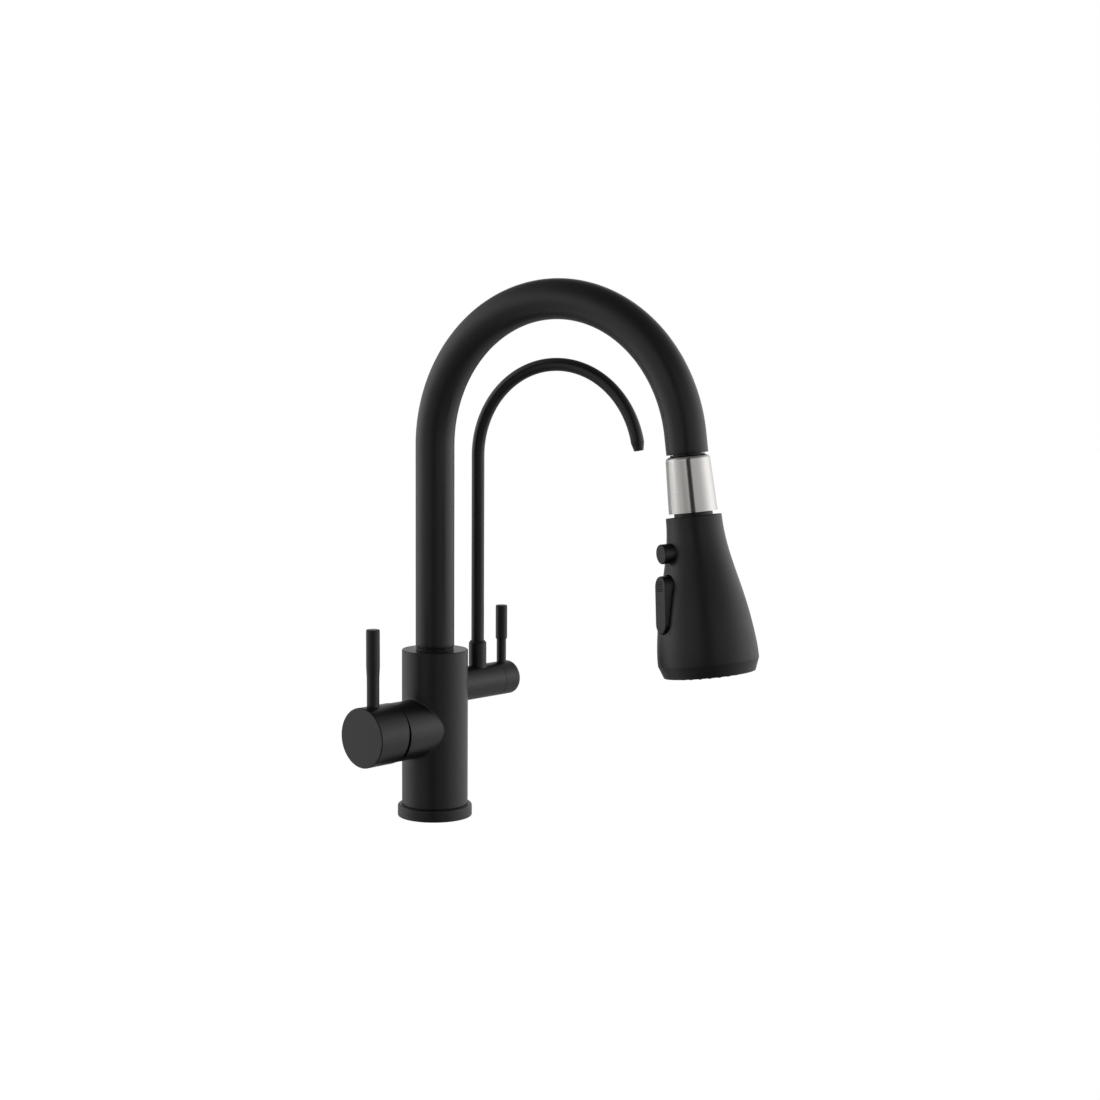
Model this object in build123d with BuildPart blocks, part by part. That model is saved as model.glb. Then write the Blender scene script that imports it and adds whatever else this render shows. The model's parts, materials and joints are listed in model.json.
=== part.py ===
from build123d import *
import os
from math import atan2, cos, degrees, radians, sin, tan

# Kitchen mixer with a pull-out spray spout and a second slim spout for filtered water.
# Millimetres. Z is up, the deck is Z = 0 and the body stands on the origin.
# The mixing lever is on the -X side, the filter valve on the +X side, the sink is towards -Y.

# Clearances
slip = 0.05
close_gap = 0.2
free_gap = 0.3
body_seam = 0.15

# Body and base
body_radius = 25.0
body_top = 127.4
body_edge_chamfer = 0.5
base_ring_radius = 28.2
base_ring_height = 9.2
base_floor = 2.5
base_opening_radius = 20.5
base_ring_top_fillet = 1.8
base_ring_foot_fillet = 0.8
gasket_inner_radius = 22.6
gasket_width = 3.0
gasket_height = 1.3
passage_radius = 8.0
block_radius = 20.0
block_height = 14.0
port_circle_radius = 14.0
port_radius = 4.5
stud_hole_radius = 2.5

# Mixing valve on the -X side
handle_height = 69.2
boss_radius = 22.0
boss_lip = 7.3
boss_fillet = 1.5
cartridge_floor = 14.0
cartridge_radius = 17.5
cartridge_length = 24.0
cartridge_neck_radius = 11.4
cartridge_neck_length = 5.5
nut_radius = 19.3
nut_bore_radius = 12.0
nut_recess = 0.7
nut_slot_width = 3.0
nut_slot_depth = 2.0
turret_radius = 9.0
turret_length = 6.0
pivot_from_turret = 3.3
pivot_pin_radius = 1.5
pivot_pin_inset = 0.5
stem_width = 7.6
stem_rear_gap = 0.9
stem_past_lever = 0.1
stem_slot_height = 11.0
cap_radius = 22.4
cap_rear_gap = 2.7
cap_length = 27.0
cap_rear_slant = 5.9
cap_wall = 2.9
cap_face_thickness = 4.0
cap_edge_chamfer = 0.6
cap_hub_radius = 9.0
cap_hub_lead = 2.9
cap_boss_radius = 6.5
cap_screw_radius = 2.5
cap_screw_length = 7.0
cap_plug_length = 2.2
lever_inset = 11.6
lever_rise = 79.3
lever_grip_radius = 5.08
lever_neck_radius = 4.65
lever_grip_length = 27.5
lever_taper_length = 8.5
lever_stud_radius = 2.5
lever_stud_length = 7.0
lever_top_fillet = 0.8

# Filter valve on the +X side
valve_height = 97.2
valve_radius = 13.0
valve_seat = 19.5
valve_barrel_length = 45.5
valve_knob_length = 16.9
valve_end_fillet = 3.0
valve_bore_radius = 9.2
valve_bore_depth = 11.5
headwork_neck_radius = 7.0
headwork_neck_length = 4.8
spindle_radius = 4.0
spindle_root = 5.0
spindle_end_cover = 4.9
knob_cavity_radius = 10.5
knob_cavity_clearance = 0.8
knob_screw_radius = 2.0
knob_screw_length = 5.5
small_lever_inset = 9.4
small_lever_rise = 57.4
small_lever_grip_radius = 4.55
small_lever_neck_radius = 3.7
small_lever_grip_length = 27.1
small_lever_step_taper = 1.4
small_lever_seat = 8.0
small_lever_top_fillet = 0.9

# Filtered-water spout
filter_spout_reach = 46.0
filter_tube_radius = 4.9
filter_tube_wall = 1.0
filter_tube_seat_depth = 2.5
filter_bend_height = 272.4
filter_bend_radius = 70.0
filter_bend_angle = 168.8
filter_spout_heading = -78.4
filter_foot_radius = 5.4
filter_foot_rise = 3.3
filter_foot_overlap = 7.0
filter_ring_radius = 0.7
filter_ring_rise = 3.7
collar_seat_rise = 10.9
collar_radius = 6.8
collar_height = 21.3
collar_cone_height = 1.8
collar_rim_radius = 5.5
filter_nozzle_length = 6.0
filter_nozzle_radius = 3.5
filter_nozzle_bore = 2.4
filter_nozzle_plug = 4.0

# Main spout
tube_radius = 14.6
tube_wall = 1.4
swivel_ring_radius = 14.2
swivel_ring_height = 1.4
tube_lift = 2.2
foot_radius = 12.0
foot_depth = 30.0
foot_overlap = 14.0
foot_bore_radius = 7.4
foot_ring_radius = 0.9
foot_ring_depths = (7.0, 25.0)
foot_groove_depth = 16.0
foot_groove_width = 4.0
foot_groove_cut = 1.6
foot_screw_radius = 2.5
foot_screw_tip_radius = 1.4
foot_screw_tip_length = 2.5
foot_screw_recess = 1.5
bend_height = 281.5
bend_radius = 108.0
bend_angle = 172.5
tube_end_length = 13.35
spout_heading = -81.0

# Pull-out hose and docking parts, measured along the pull axis from the end of the tube
hose_radius = 6.2
hose_bore_radius = 4.0
hose_dock_end = -8.5
insert_bore_radius = 10.3
insert_length = 16.0
insert_throat_radius = 7.2
insert_throat_length = 3.5
spigot_tip = -11.0
spigot_tip_radius = 9.2
spigot_radius = 10.0
spigot_lead = 2.0
spigot_bore_radius = 6.7
dock_gap = 0.4
neck_radius = 12.1
hub_radius = 13.6
hub_length = 27.5
ferrule_radius = 6.6
ferrule_length = 18.0
sleeve_top = 1.4
sleeve_length = 39.2
sleeve_top_radius = 15.4
sleeve_bottom_radius = 17.0
sleeve_wall = 1.1
sleeve_shoulder = 3.1
sleeve_lip_height = 1.0
sleeve_lip_depth = 0.25
swivel_neck_radius = 13.4
swivel_neck_shown = 2.6
swivel_neck_insertion = 9.8
swivel_flange_inset = 1.2
swivel_flange_thickness = 2.9
neck_ring_radius = 0.8
neck_ring_depth = 5.3

# Spray head: its skin in four runs from the top, then the rim
head_top_radius = 19.4
head_waist_radius = 23.9
head_flare_radius = 30.6
head_skirt_radius = 34.4
head_widest_radius = 35.1
head_bottom_radius = 31.8
head_neck_run = 34.3
head_flare_run = 29.1
head_skirt_run = 24.9
head_bell_run = 12.9
head_rim_run = 8.8
head_wall = 2.6
head_socket_clearance = 1.0
head_socket_floor_thickness = 3.0
head_cavity_radius = 17.9
head_edge_chamfer = 0.4
head_rim_fillet = 0.8
face_radius = 29.6
face_thickness = 3.6
face_seat_depth = 7.2
face_recess = 1.0
core_neck_radius = 12.0
core_neck_run = 13.0
core_radius = 16.0
core_flange_height = 3.0
core_flange_radius = 28.0
controls_heading = 158.0

# Outlets on the spray face
aerator_radius = 10.0
aerator_stand = 0.6
aerator_bore_radius = 8.0
aerator_bore_depth = 1.2
nozzle_base_radius = 1.25
nozzle_tip_radius = 0.8
nozzle_height = 1.5
nozzle_root = 1.0
nozzle_ring_radii = (14.2, 19.6, 25.0)
nozzle_ring_counts = (12, 18, 24)

# Spray button
button_from_top = 23.8
button_radius = 6.85
button_face = 28.9
button_back = 18.2
button_edge_fillet = 0.9
button_stem_radius = 3.0
button_stem_end = 9.5
button_bore_end = 6.5
button_spring_radius = 4.3
button_wire_radius = 0.4

# Spray selector rocker
toggle_from_button = 14.8
toggle_length = 39.4
toggle_face_top = 29.7
toggle_face_bottom = 34.2
toggle_width = 14.6
toggle_tail_width = 14.2
toggle_corner = 6.9
toggle_tail_corner = 6.8
toggle_back = 21.5
toggle_edge_fillet = 0.9
toggle_pin_from_top = 18.2
toggle_pin_depth = 25.9
toggle_pin_radius = 1.1
toggle_pin_half_length = 10.6
toggle_gap = 0.5
rib_count = 5
rib_start = 4.8
rib_pitch = 1.66
rib_width = 10.5
rib_height = 0.45
rib_thickness = 0.8

os.makedirs("parts", exist_ok=True)


def finish(made, label):
    """Label the piece and write it to its own file."""
    made.part.label = label
    export_step(made.part, f"parts/{label}.step")


def heading_vector(angle):
    """The level unit vector at an angle from +X."""
    return Vector(cos(radians(angle)), sin(radians(angle)), 0)


def section_plane(origin, across, along):
    """A plane through an axis: local X runs across it and local Y along it."""
    return Plane(origin=origin, x_dir=across, z_dir=across.cross(along))


def ring_around(origin, axis, place, radius, minor):
    """A round sealing ring about an axis, at a place along it."""
    centre = origin + axis * place
    across = Plane(origin=centre, z_dir=axis).x_dir
    with BuildPart() as ring:
        with BuildSketch(section_plane(centre, across, axis)):
            with Locations((radius, 0)):
                Circle(minor)
        revolve(axis=Axis(centre, axis))
    return ring


# Places along the mixing valve, outwards from the body's axis, and up its lever
cartridge_end = cartridge_floor + cartridge_length
boss_reach = cartridge_end + boss_lip
turret_start = cartridge_end + cartridge_neck_length + close_gap
pivot_reach = turret_start + pivot_from_turret
cap_rear_reach = boss_reach + cap_rear_gap
cap_face_reach = cap_rear_reach + cap_length
lever_reach = cap_face_reach - lever_inset
stem_reach = lever_reach + stem_past_lever
cap_hub_reach = lever_reach - cap_boss_radius - cap_hub_lead
lever_top = handle_height + lever_rise
lever_taper_top = lever_top - lever_grip_length
lever_taper_bottom = lever_taper_top - lever_taper_length

# Places along the filter valve and up its lever and collar
valve_seam = valve_seat + valve_barrel_length
valve_end = valve_seam + valve_knob_length
valve_bore_floor = valve_seam - valve_bore_depth
headwork_neck_end = valve_seam + headwork_neck_length
spindle_start = valve_seam - spindle_root
spindle_end = valve_end - spindle_end_cover
knob_cavity_end = headwork_neck_end + knob_cavity_clearance
small_lever_reach = valve_end - small_lever_inset
small_lever_top = valve_height + small_lever_rise
small_lever_step = small_lever_top - small_lever_grip_length
filter_foot_bottom = valve_height + filter_foot_rise
filter_ring_height = filter_foot_bottom + filter_ring_rise
collar_seat = valve_height + collar_seat_rise
collar_top = collar_seat + collar_height
filter_tube_bottom = collar_seat + filter_tube_seat_depth

# Directions and centres that the sizes above fix
up = Vector(0, 0, 1)
handle_centre = Vector(0, 0, handle_height)
valve_centre = Vector(0, 0, valve_height)
handle_out = Vector(-1, 0, 0)
valve_out = Vector(1, 0, 0)
ring_top = body_top + swivel_ring_height
tube_bottom = body_top + tube_lift
spout_out = heading_vector(spout_heading)
filter_out = heading_vector(filter_spout_heading)
filter_base = Vector(filter_spout_reach, 0, 0)

# The bend leaves the tube's end leaning outwards; the pull axis carries on along it.
pull_axis = spout_out * sin(radians(bend_angle)) + up * cos(radians(bend_angle))
bend_end = spout_out * (bend_radius * (1 - cos(radians(bend_angle))))
bend_end = bend_end + up * (bend_height + bend_radius * sin(radians(bend_angle)))
tube_end = bend_end + pull_axis * tube_end_length
filter_axis = filter_out * sin(radians(filter_bend_angle)) + up * cos(radians(filter_bend_angle))
filter_bend_end = filter_base + filter_out * (filter_bend_radius * (1 - cos(radians(filter_bend_angle))))
filter_bend_end = filter_bend_end + up * (
    filter_bend_height + filter_bend_radius * sin(radians(filter_bend_angle))
)

# Places along the pull axis, each from the piece it sits on
sleeve_seat = sleeve_top + sleeve_wall
sleeve_bottom = sleeve_top + sleeve_length
hub_end = sleeve_seat + hub_length
swivel_flange_end = sleeve_bottom - swivel_flange_inset
swivel_flange_start = swivel_flange_end - swivel_flange_thickness
head_top = sleeve_bottom + swivel_neck_shown
neck_ring_place = head_top + neck_ring_depth
swivel_neck_end = head_top + swivel_neck_insertion
head_socket_floor = swivel_neck_end + head_socket_clearance
head_cavity_top = head_socket_floor + head_socket_floor_thickness
head_waist = head_top + head_neck_run
head_flare = head_waist + head_flare_run
head_skirt = head_flare + head_skirt_run
head_widest = head_skirt + head_bell_run
head_bottom = head_widest + head_rim_run
head_cavity_bottom = head_bottom - face_seat_depth
button_place = head_top + button_from_top
toggle_top = button_place + toggle_from_button
toggle_bottom = toggle_top + toggle_length
toggle_pin_place = toggle_top + toggle_pin_from_top
core_start = head_cavity_top + close_gap
core_neck_end = button_place + core_neck_run
core_flange_start = head_cavity_bottom - core_flange_height
face_front = head_bottom - face_recess
face_back = face_front - face_thickness
core_end = face_back - close_gap

# The spray head's controls face this way, square to the pull axis.
controls_level = heading_vector(controls_heading)
controls_out = (controls_level - pull_axis * controls_level.dot(pull_axis)).normalized()
head_section = section_plane(tube_end, controls_out, pull_axis)
head_plane = Plane(origin=tube_end, x_dir=controls_out, z_dir=pull_axis)
pull_line = Axis(tube_end, pull_axis)


def head_point(across, along):
    """A point in the head's section: distance from the pull axis, and along it from the tube's end."""
    return tube_end + controls_out * across + pull_axis * along


def turned_on_pull_axis(*outline):
    """A part of revolution about the pull axis, from (radius, place) corners."""
    with BuildPart() as turned:
        with BuildSketch(head_section):
            with BuildLine():
                Polyline(*outline, close=True)
            make_face()
        revolve(axis=pull_line)
    return turned


# Body: turned from bar, with the boss for the mixing cartridge and a seat for the filter valve
screw_height = body_top - foot_groove_depth
with BuildPart() as tap_body:
    with BuildSketch(Plane.XY.offset(base_floor)):
        Circle(body_radius)
    extrude(amount=body_top - base_floor)
    with BuildSketch(Plane.YZ.offset(-boss_reach)):
        with Locations((0, handle_height)):
            Circle(boss_radius)
    extrude(amount=boss_reach)
    junction = tap_body.edges().filter_by(lambda edge: edge.geom_type not in (GeomType.LINE, GeomType.CIRCLE))
    fillet(junction, boss_fillet)
    chamfer(tap_body.edges().group_by(Axis.Z)[-1], body_edge_chamfer)
    # Seat for the spout's foot, and the passage for the hose below it
    with Locations(Plane.XY.offset(body_top)):
        Hole(foot_radius, foot_depth + free_gap)
    with Locations(Plane.XY.offset(body_top)):
        Hole(passage_radius)
    # Pocket for the cartridge, with a wider mouth for its nut
    with Locations(Plane(origin=handle_centre + handle_out * boss_reach, z_dir=handle_out)):
        CounterBoreHole(
            cartridge_radius + slip,
            nut_radius + slip,
            boss_reach - cartridge_end,
            boss_reach - cartridge_floor,
        )
    # Pocket for the filter valve
    with Locations(Plane(origin=valve_centre + valve_out * body_radius, z_dir=valve_out)):
        Hole(valve_radius + slip, body_radius - valve_seat)
    # Pocket in the underside for the inlet block
    with BuildSketch(Plane.XY.offset(base_floor)):
        Circle(block_radius + slip)
    extrude(amount=block_height + close_gap, mode=Mode.SUBTRACT)
    # Tapped hole at the back for the screw that keeps the spout in
    with Locations(Plane(origin=(0, body_radius, screw_height), z_dir=(0, 1, 0))):
        Hole(foot_screw_radius, body_radius - foot_radius + slip)
finish(tap_body, "tap_body")

# Inlet block: the threaded ports, the stud holes and the passage for the hose
with BuildPart() as inlet_block:
    with BuildSketch(Plane.XY.offset(base_floor)):
        Circle(block_radius)
        Circle(passage_radius, mode=Mode.SUBTRACT)
        with PolarLocations(port_circle_radius, 4, start_angle=45):
            Circle(port_radius, mode=Mode.SUBTRACT)
        with PolarLocations(port_circle_radius, 2, start_angle=90):
            Circle(stud_hole_radius, mode=Mode.SUBTRACT)
    extrude(amount=block_height)
finish(inlet_block, "inlet_block")

# Base ring: the body stands on its ledge
with BuildPart() as base_ring:
    with BuildSketch():
        Circle(base_ring_radius)
        Circle(base_opening_radius, mode=Mode.SUBTRACT)
    extrude(amount=base_ring_height)
    fillet(base_ring.edges().group_by(Axis.Z)[-1].sort_by(SortBy.LENGTH)[-1], base_ring_top_fillet)
    fillet(base_ring.edges().group_by(Axis.Z)[0].sort_by(SortBy.LENGTH)[-1], base_ring_foot_fillet)
    with Locations(Plane.XY.offset(base_ring_height)):
        Hole(body_radius + body_seam, base_ring_height - base_floor)
    with BuildSketch():
        Circle(gasket_inner_radius + gasket_width)
        Circle(gasket_inner_radius, mode=Mode.SUBTRACT)
    extrude(amount=gasket_height, mode=Mode.SUBTRACT)
finish(base_ring, "base_ring")

with BuildPart() as base_gasket:
    with BuildSketch():
        Circle(gasket_inner_radius + gasket_width)
        Circle(gasket_inner_radius, mode=Mode.SUBTRACT)
    extrude(amount=gasket_height)
finish(base_gasket, "base_gasket")

# Slide ring that the spout turns on
with BuildPart() as swivel_ring:
    with BuildSketch(Plane.XY.offset(body_top)):
        Circle(swivel_ring_radius)
        Circle(foot_radius, mode=Mode.SUBTRACT)
    extrude(amount=swivel_ring_height)
    fillet(swivel_ring.edges().group_by(Axis.Z)[-1].sort_by(SortBy.LENGTH)[-1], close_gap)
finish(swivel_ring, "swivel_ring")

# Screw at the back of the body, whose tip runs in the foot's groove
with BuildPart() as spout_screw:
    with BuildSketch(Plane.XZ.offset(-(body_radius - foot_screw_recess))):
        with Locations((0, screw_height)):
            Circle(foot_screw_radius - slip)
            RegularPolygon(foot_screw_radius / 2, 6, mode=Mode.SUBTRACT)
    extrude(amount=foot_screw_tip_length)
    with BuildSketch(Plane.XZ.offset(-(foot_radius + free_gap))):
        with Locations((0, screw_height)):
            Circle(foot_screw_radius - slip)
    extrude(amount=-(body_radius - foot_screw_recess - foot_screw_tip_length - foot_radius - free_gap))
    with BuildSketch(Plane.XZ.offset(-(foot_radius - foot_groove_cut + free_gap))):
        with Locations((0, screw_height)):
            Circle(foot_screw_tip_radius)
    extrude(amount=-(foot_groove_cut))
finish(spout_screw, "spout_screw")

# Mixing cartridge, its nut, and the turret that turns on it
with BuildPart() as cartridge:
    with BuildSketch(Plane.YZ.offset(-cartridge_end)):
        with Locations((0, handle_height)):
            Circle(cartridge_radius)
    extrude(amount=cartridge_end - cartridge_floor)
    with BuildSketch(Plane.YZ.offset(-cartridge_end)):
        with Locations((0, handle_height)):
            Circle(cartridge_neck_radius)
    extrude(amount=-cartridge_neck_length)
finish(cartridge, "cartridge")

with BuildPart() as cartridge_nut:
    with BuildSketch(Plane.YZ.offset(-cartridge_end)):
        with Locations((0, handle_height)):
            Circle(nut_radius)
            Circle(nut_bore_radius, mode=Mode.SUBTRACT)
    extrude(amount=-(boss_reach - nut_recess - cartridge_end))
    with BuildSketch(Plane.YZ.offset(-(boss_reach - nut_recess))):
        with Locations((0, handle_height)):
            with PolarLocations((nut_radius + nut_bore_radius) / 2, 4):
                Rectangle(nut_radius, nut_slot_width)
    extrude(amount=nut_slot_depth, mode=Mode.SUBTRACT)
finish(cartridge_nut, "cartridge_nut")

with BuildPart() as cartridge_turret:
    with BuildSketch(Plane.YZ.offset(-turret_start)):
        with Locations((0, handle_height)):
            Circle(turret_radius)
            Rectangle(stem_width + 2 * close_gap, stem_slot_height, mode=Mode.SUBTRACT)
    extrude(amount=-turret_length)
    with Locations(Plane(origin=handle_centre + handle_out * pivot_reach, z_dir=(0, 1, 0))):
        Cylinder(pivot_pin_radius, 2 * turret_radius, mode=Mode.SUBTRACT)
finish(cartridge_turret, "cartridge_turret")

with BuildPart() as pivot_pin:
    with Locations(Plane(origin=handle_centre + handle_out * pivot_reach, z_dir=(0, 1, 0))):
        Cylinder(pivot_pin_radius, 2 * (turret_radius - pivot_pin_inset))
finish(pivot_pin, "pivot_pin")

# Stem that the lever tilts and turns
stem_start = turret_start + stem_rear_gap
with BuildPart() as cartridge_stem:
    with BuildSketch(Plane.YZ.offset(-stem_start)):
        with Locations((0, handle_height)):
            Rectangle(stem_width, stem_width)
    extrude(amount=-(stem_reach - stem_start))
    chamfer(cartridge_stem.faces().sort_by(Axis.X)[0].edges(), close_gap)
    with Locations(Plane(origin=handle_centre + handle_out * pivot_reach, z_dir=(0, 1, 0))):
        Cylinder(pivot_pin_radius + slip, 2 * turret_radius, mode=Mode.SUBTRACT)
finish(cartridge_stem, "cartridge_stem")

# Lever cap: a drum with a slanted back edge, which leaves room for the tilt
slant_rise = tan(radians(cap_rear_slant))
cap_bottom = handle_height - cap_radius
socket_depth = cap_wall + lever_stud_length
with BuildPart() as lever_cap:
    with BuildSketch(Plane.YZ.offset(-cap_face_reach)):
        with Locations((0, handle_height)):
            Circle(cap_radius)
    extrude(amount=cap_face_reach - boss_reach)
    chamfer(lever_cap.faces().sort_by(Axis.X)[0].edges(), cap_edge_chamfer)
    with Locations(Plane(origin=handle_centre + handle_out * boss_reach, z_dir=(1, 0, 0))):
        Hole(cap_radius - cap_wall, cap_face_reach - cap_face_thickness - boss_reach)
    # Hub for the stem, a boss for the lever above it and one for the screw below it
    with BuildSketch(Plane.YZ.offset(-(cap_face_reach - cap_face_thickness))):
        with Locations((0, handle_height)):
            Circle(cap_hub_radius)
    extrude(amount=cap_face_reach - cap_face_thickness - cap_hub_reach)
    with BuildSketch(Plane.XY.offset(cap_bottom + cap_wall / 2)):
        with Locations((-lever_reach, 0)):
            Circle(cap_boss_radius)
    extrude(amount=2 * cap_radius - cap_wall)
    with BuildSketch(Plane.XZ):
        with BuildLine():
            Polyline(
                (-cap_rear_reach + cap_radius * slant_rise, handle_height + cap_radius),
                (-cap_rear_reach - cap_radius * slant_rise, handle_height - cap_radius),
                (0, handle_height - cap_radius),
                (0, handle_height + cap_radius),
                close=True,
            )
        make_face()
    extrude(amount=cap_radius, both=True, mode=Mode.SUBTRACT)
    with BuildSketch(Plane.YZ.offset(-cap_hub_reach)):
        with Locations((0, handle_height)):
            Rectangle(stem_width + 2 * slip, stem_width + 2 * slip)
    extrude(amount=-(stem_reach - cap_hub_reach + free_gap), mode=Mode.SUBTRACT)
    with Locations(Plane(origin=(-lever_reach, 0, handle_height + cap_radius), z_dir=(0, 0, 1))):
        CounterBoreHole(lever_stud_radius + slip, lever_neck_radius + slip, cap_wall, socket_depth)
    with Locations(Plane(origin=(-(lever_reach - cap_boss_radius / 2), 0, cap_bottom), z_dir=(0, 0, -1))):
        Hole(cap_screw_radius, cap_radius - stem_width / 2)
finish(lever_cap, "lever_cap")

screw_reach = lever_reach - cap_boss_radius / 2
with BuildPart() as cap_screw:
    with BuildSketch(Plane.XY.offset(handle_height - stem_width / 2 - slip)):
        with Locations((-screw_reach, 0)):
            Circle(cap_screw_radius - slip)
    extrude(amount=-cap_screw_length)
    with BuildSketch(Plane.XY.offset(handle_height - stem_width / 2 - slip - cap_screw_length)):
        with Locations((-screw_reach, 0)):
            RegularPolygon(cap_screw_radius / 2, 6)
    extrude(amount=cap_screw_length / 2, mode=Mode.SUBTRACT)
finish(cap_screw, "cap_screw")

with BuildPart() as cap_plug:
    with BuildSketch(Plane.XY.offset(cap_bottom + close_gap)):
        with Locations((-screw_reach, 0)):
            Circle(cap_screw_radius - slip)
    extrude(amount=cap_plug_length)
finish(cap_plug, "cap_plug")

lever_seat = handle_height + cap_radius - cap_wall
with BuildPart() as mixer_lever:
    with BuildSketch(Plane.XZ):
        with BuildLine():
            Polyline(
                (-lever_reach, lever_seat - lever_stud_length + free_gap),
                (-lever_reach + lever_stud_radius, lever_seat - lever_stud_length + free_gap),
                (-lever_reach + lever_stud_radius, lever_seat),
                (-lever_reach + lever_neck_radius, lever_seat),
                (-lever_reach + lever_neck_radius, lever_taper_bottom),
                (-lever_reach + lever_grip_radius, lever_taper_top),
                (-lever_reach + lever_grip_radius, lever_top),
                (-lever_reach, lever_top),
                close=True,
            )
        make_face()
    revolve(axis=Axis((-lever_reach, 0, 0), (0, 0, 1)))
    fillet(mixer_lever.edges().group_by(Axis.Z)[-1], lever_top_fillet)
finish(mixer_lever, "mixer_lever")

# Filter valve: barrel, ceramic headwork, spindle, knob and lever
with BuildPart() as filter_barrel:
    with BuildSketch(Plane.YZ.offset(valve_seat)):
        with Locations((0, valve_height)):
            Circle(valve_radius)
    extrude(amount=valve_seam - valve_seat)
    with Locations(Plane(origin=valve_centre + valve_out * valve_seam, z_dir=valve_out)):
        Hole(valve_bore_radius, valve_seam - valve_bore_floor)
    # Flat for the spout's collar, and the socket below it
    with BuildSketch(Plane.XY.offset(collar_seat)):
        with Locations((filter_spout_reach, 0)):
            Circle(collar_radius + slip)
    extrude(amount=valve_radius, mode=Mode.SUBTRACT)
    with Locations(Plane(origin=filter_base + up * collar_seat, z_dir=up)):
        Hole(filter_foot_radius + slip, collar_seat - filter_foot_bottom + free_gap)
finish(filter_barrel, "filter_barrel")

with BuildPart() as valve_headwork:
    with BuildSketch(Plane.YZ.offset(valve_bore_floor)):
        with Locations((0, valve_height)):
            Circle(valve_bore_radius)
    extrude(amount=valve_seam - valve_bore_floor - close_gap)
    with BuildSketch(Plane.YZ.offset(valve_seam - close_gap)):
        with Locations((0, valve_height)):
            Circle(headwork_neck_radius)
    extrude(amount=headwork_neck_end - valve_seam + close_gap)
    with Locations(Plane(origin=valve_centre + valve_out * headwork_neck_end, z_dir=valve_out)):
        Hole(spindle_radius + slip, headwork_neck_end - spindle_start + close_gap)
finish(valve_headwork, "valve_headwork")

with BuildPart() as valve_spindle:
    with BuildSketch(Plane.YZ.offset(spindle_start)):
        with Locations((0, valve_height)):
            Circle(spindle_radius)
    extrude(amount=spindle_end - spindle_start)
    chamfer(valve_spindle.faces().sort_by(Axis.X)[-1].edges(), close_gap)
finish(valve_spindle, "valve_spindle")

with BuildPart() as valve_knob:
    with BuildSketch(Plane.YZ.offset(valve_seam + free_gap)):
        with Locations((0, valve_height)):
            Circle(valve_radius)
    extrude(amount=valve_end - valve_seam - free_gap)
    fillet(valve_knob.faces().sort_by(Axis.X)[-1].edges(), valve_end_fillet)
    with Locations(Plane(origin=valve_centre + valve_out * valve_seam, z_dir=(-1, 0, 0))):
        CounterBoreHole(
            spindle_radius,
            knob_cavity_radius,
            knob_cavity_end - valve_seam,
            spindle_end - valve_seam + close_gap,
        )
    with Locations(Plane(origin=(small_lever_reach, 0, valve_height + valve_radius), z_dir=(0, 0, 1))):
        Hole(small_lever_neck_radius, valve_radius - small_lever_seat)
    with Locations(Plane(origin=(small_lever_reach, 0, valve_height - valve_radius), z_dir=(0, 0, -1))):
        Hole(knob_screw_radius + slip, valve_radius - spindle_radius)
finish(valve_knob, "valve_knob")

with BuildPart() as knob_screw:
    with BuildSketch(Plane.XY.offset(valve_height - spindle_radius)):
        with Locations((small_lever_reach, 0)):
            Circle(knob_screw_radius)
    extrude(amount=-knob_screw_length)
    with BuildSketch(Plane.XY.offset(valve_height - spindle_radius - knob_screw_length)):
        with Locations((small_lever_reach, 0)):
            RegularPolygon(knob_screw_radius / 2, 6)
    extrude(amount=knob_screw_length / 2, mode=Mode.SUBTRACT)
finish(knob_screw, "knob_screw")

with BuildPart() as filter_lever:
    with BuildSketch(Plane.XZ):
        with BuildLine():
            Polyline(
                (small_lever_reach, valve_height + small_lever_seat),
                (small_lever_reach + small_lever_neck_radius, valve_height + small_lever_seat),
                (small_lever_reach + small_lever_neck_radius, small_lever_step),
                (small_lever_reach + small_lever_grip_radius, small_lever_step + small_lever_step_taper),
                (small_lever_reach + small_lever_grip_radius, small_lever_top),
                (small_lever_reach, small_lever_top),
                close=True,
            )
        make_face()
    revolve(axis=Axis((small_lever_reach, 0, 0), (0, 0, 1)))
    fillet(filter_lever.edges().group_by(Axis.Z)[-1], small_lever_top_fillet)
finish(filter_lever, "filter_lever")

# Filter spout: collar on the barrel, turned foot with its seal, bent tube and tapered nozzle
with BuildPart() as filter_collar:
    with BuildSketch(Plane.XZ):
        with BuildLine():
            Polyline(
                (filter_spout_reach + filter_tube_radius + slip, collar_seat),
                (filter_spout_reach + collar_radius, collar_seat),
                (filter_spout_reach + collar_radius, collar_top - collar_cone_height),
                (filter_spout_reach + collar_rim_radius, collar_top),
                (filter_spout_reach + filter_tube_radius + slip, collar_top),
                close=True,
            )
        make_face()
    revolve(axis=Axis(filter_base, up))
    with Locations(Plane(origin=filter_base + up * collar_seat, z_dir=(0, 0, -1))):
        Hole(filter_foot_radius + slip, filter_tube_bottom - collar_seat)
finish(filter_collar, "filter_collar")

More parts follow.
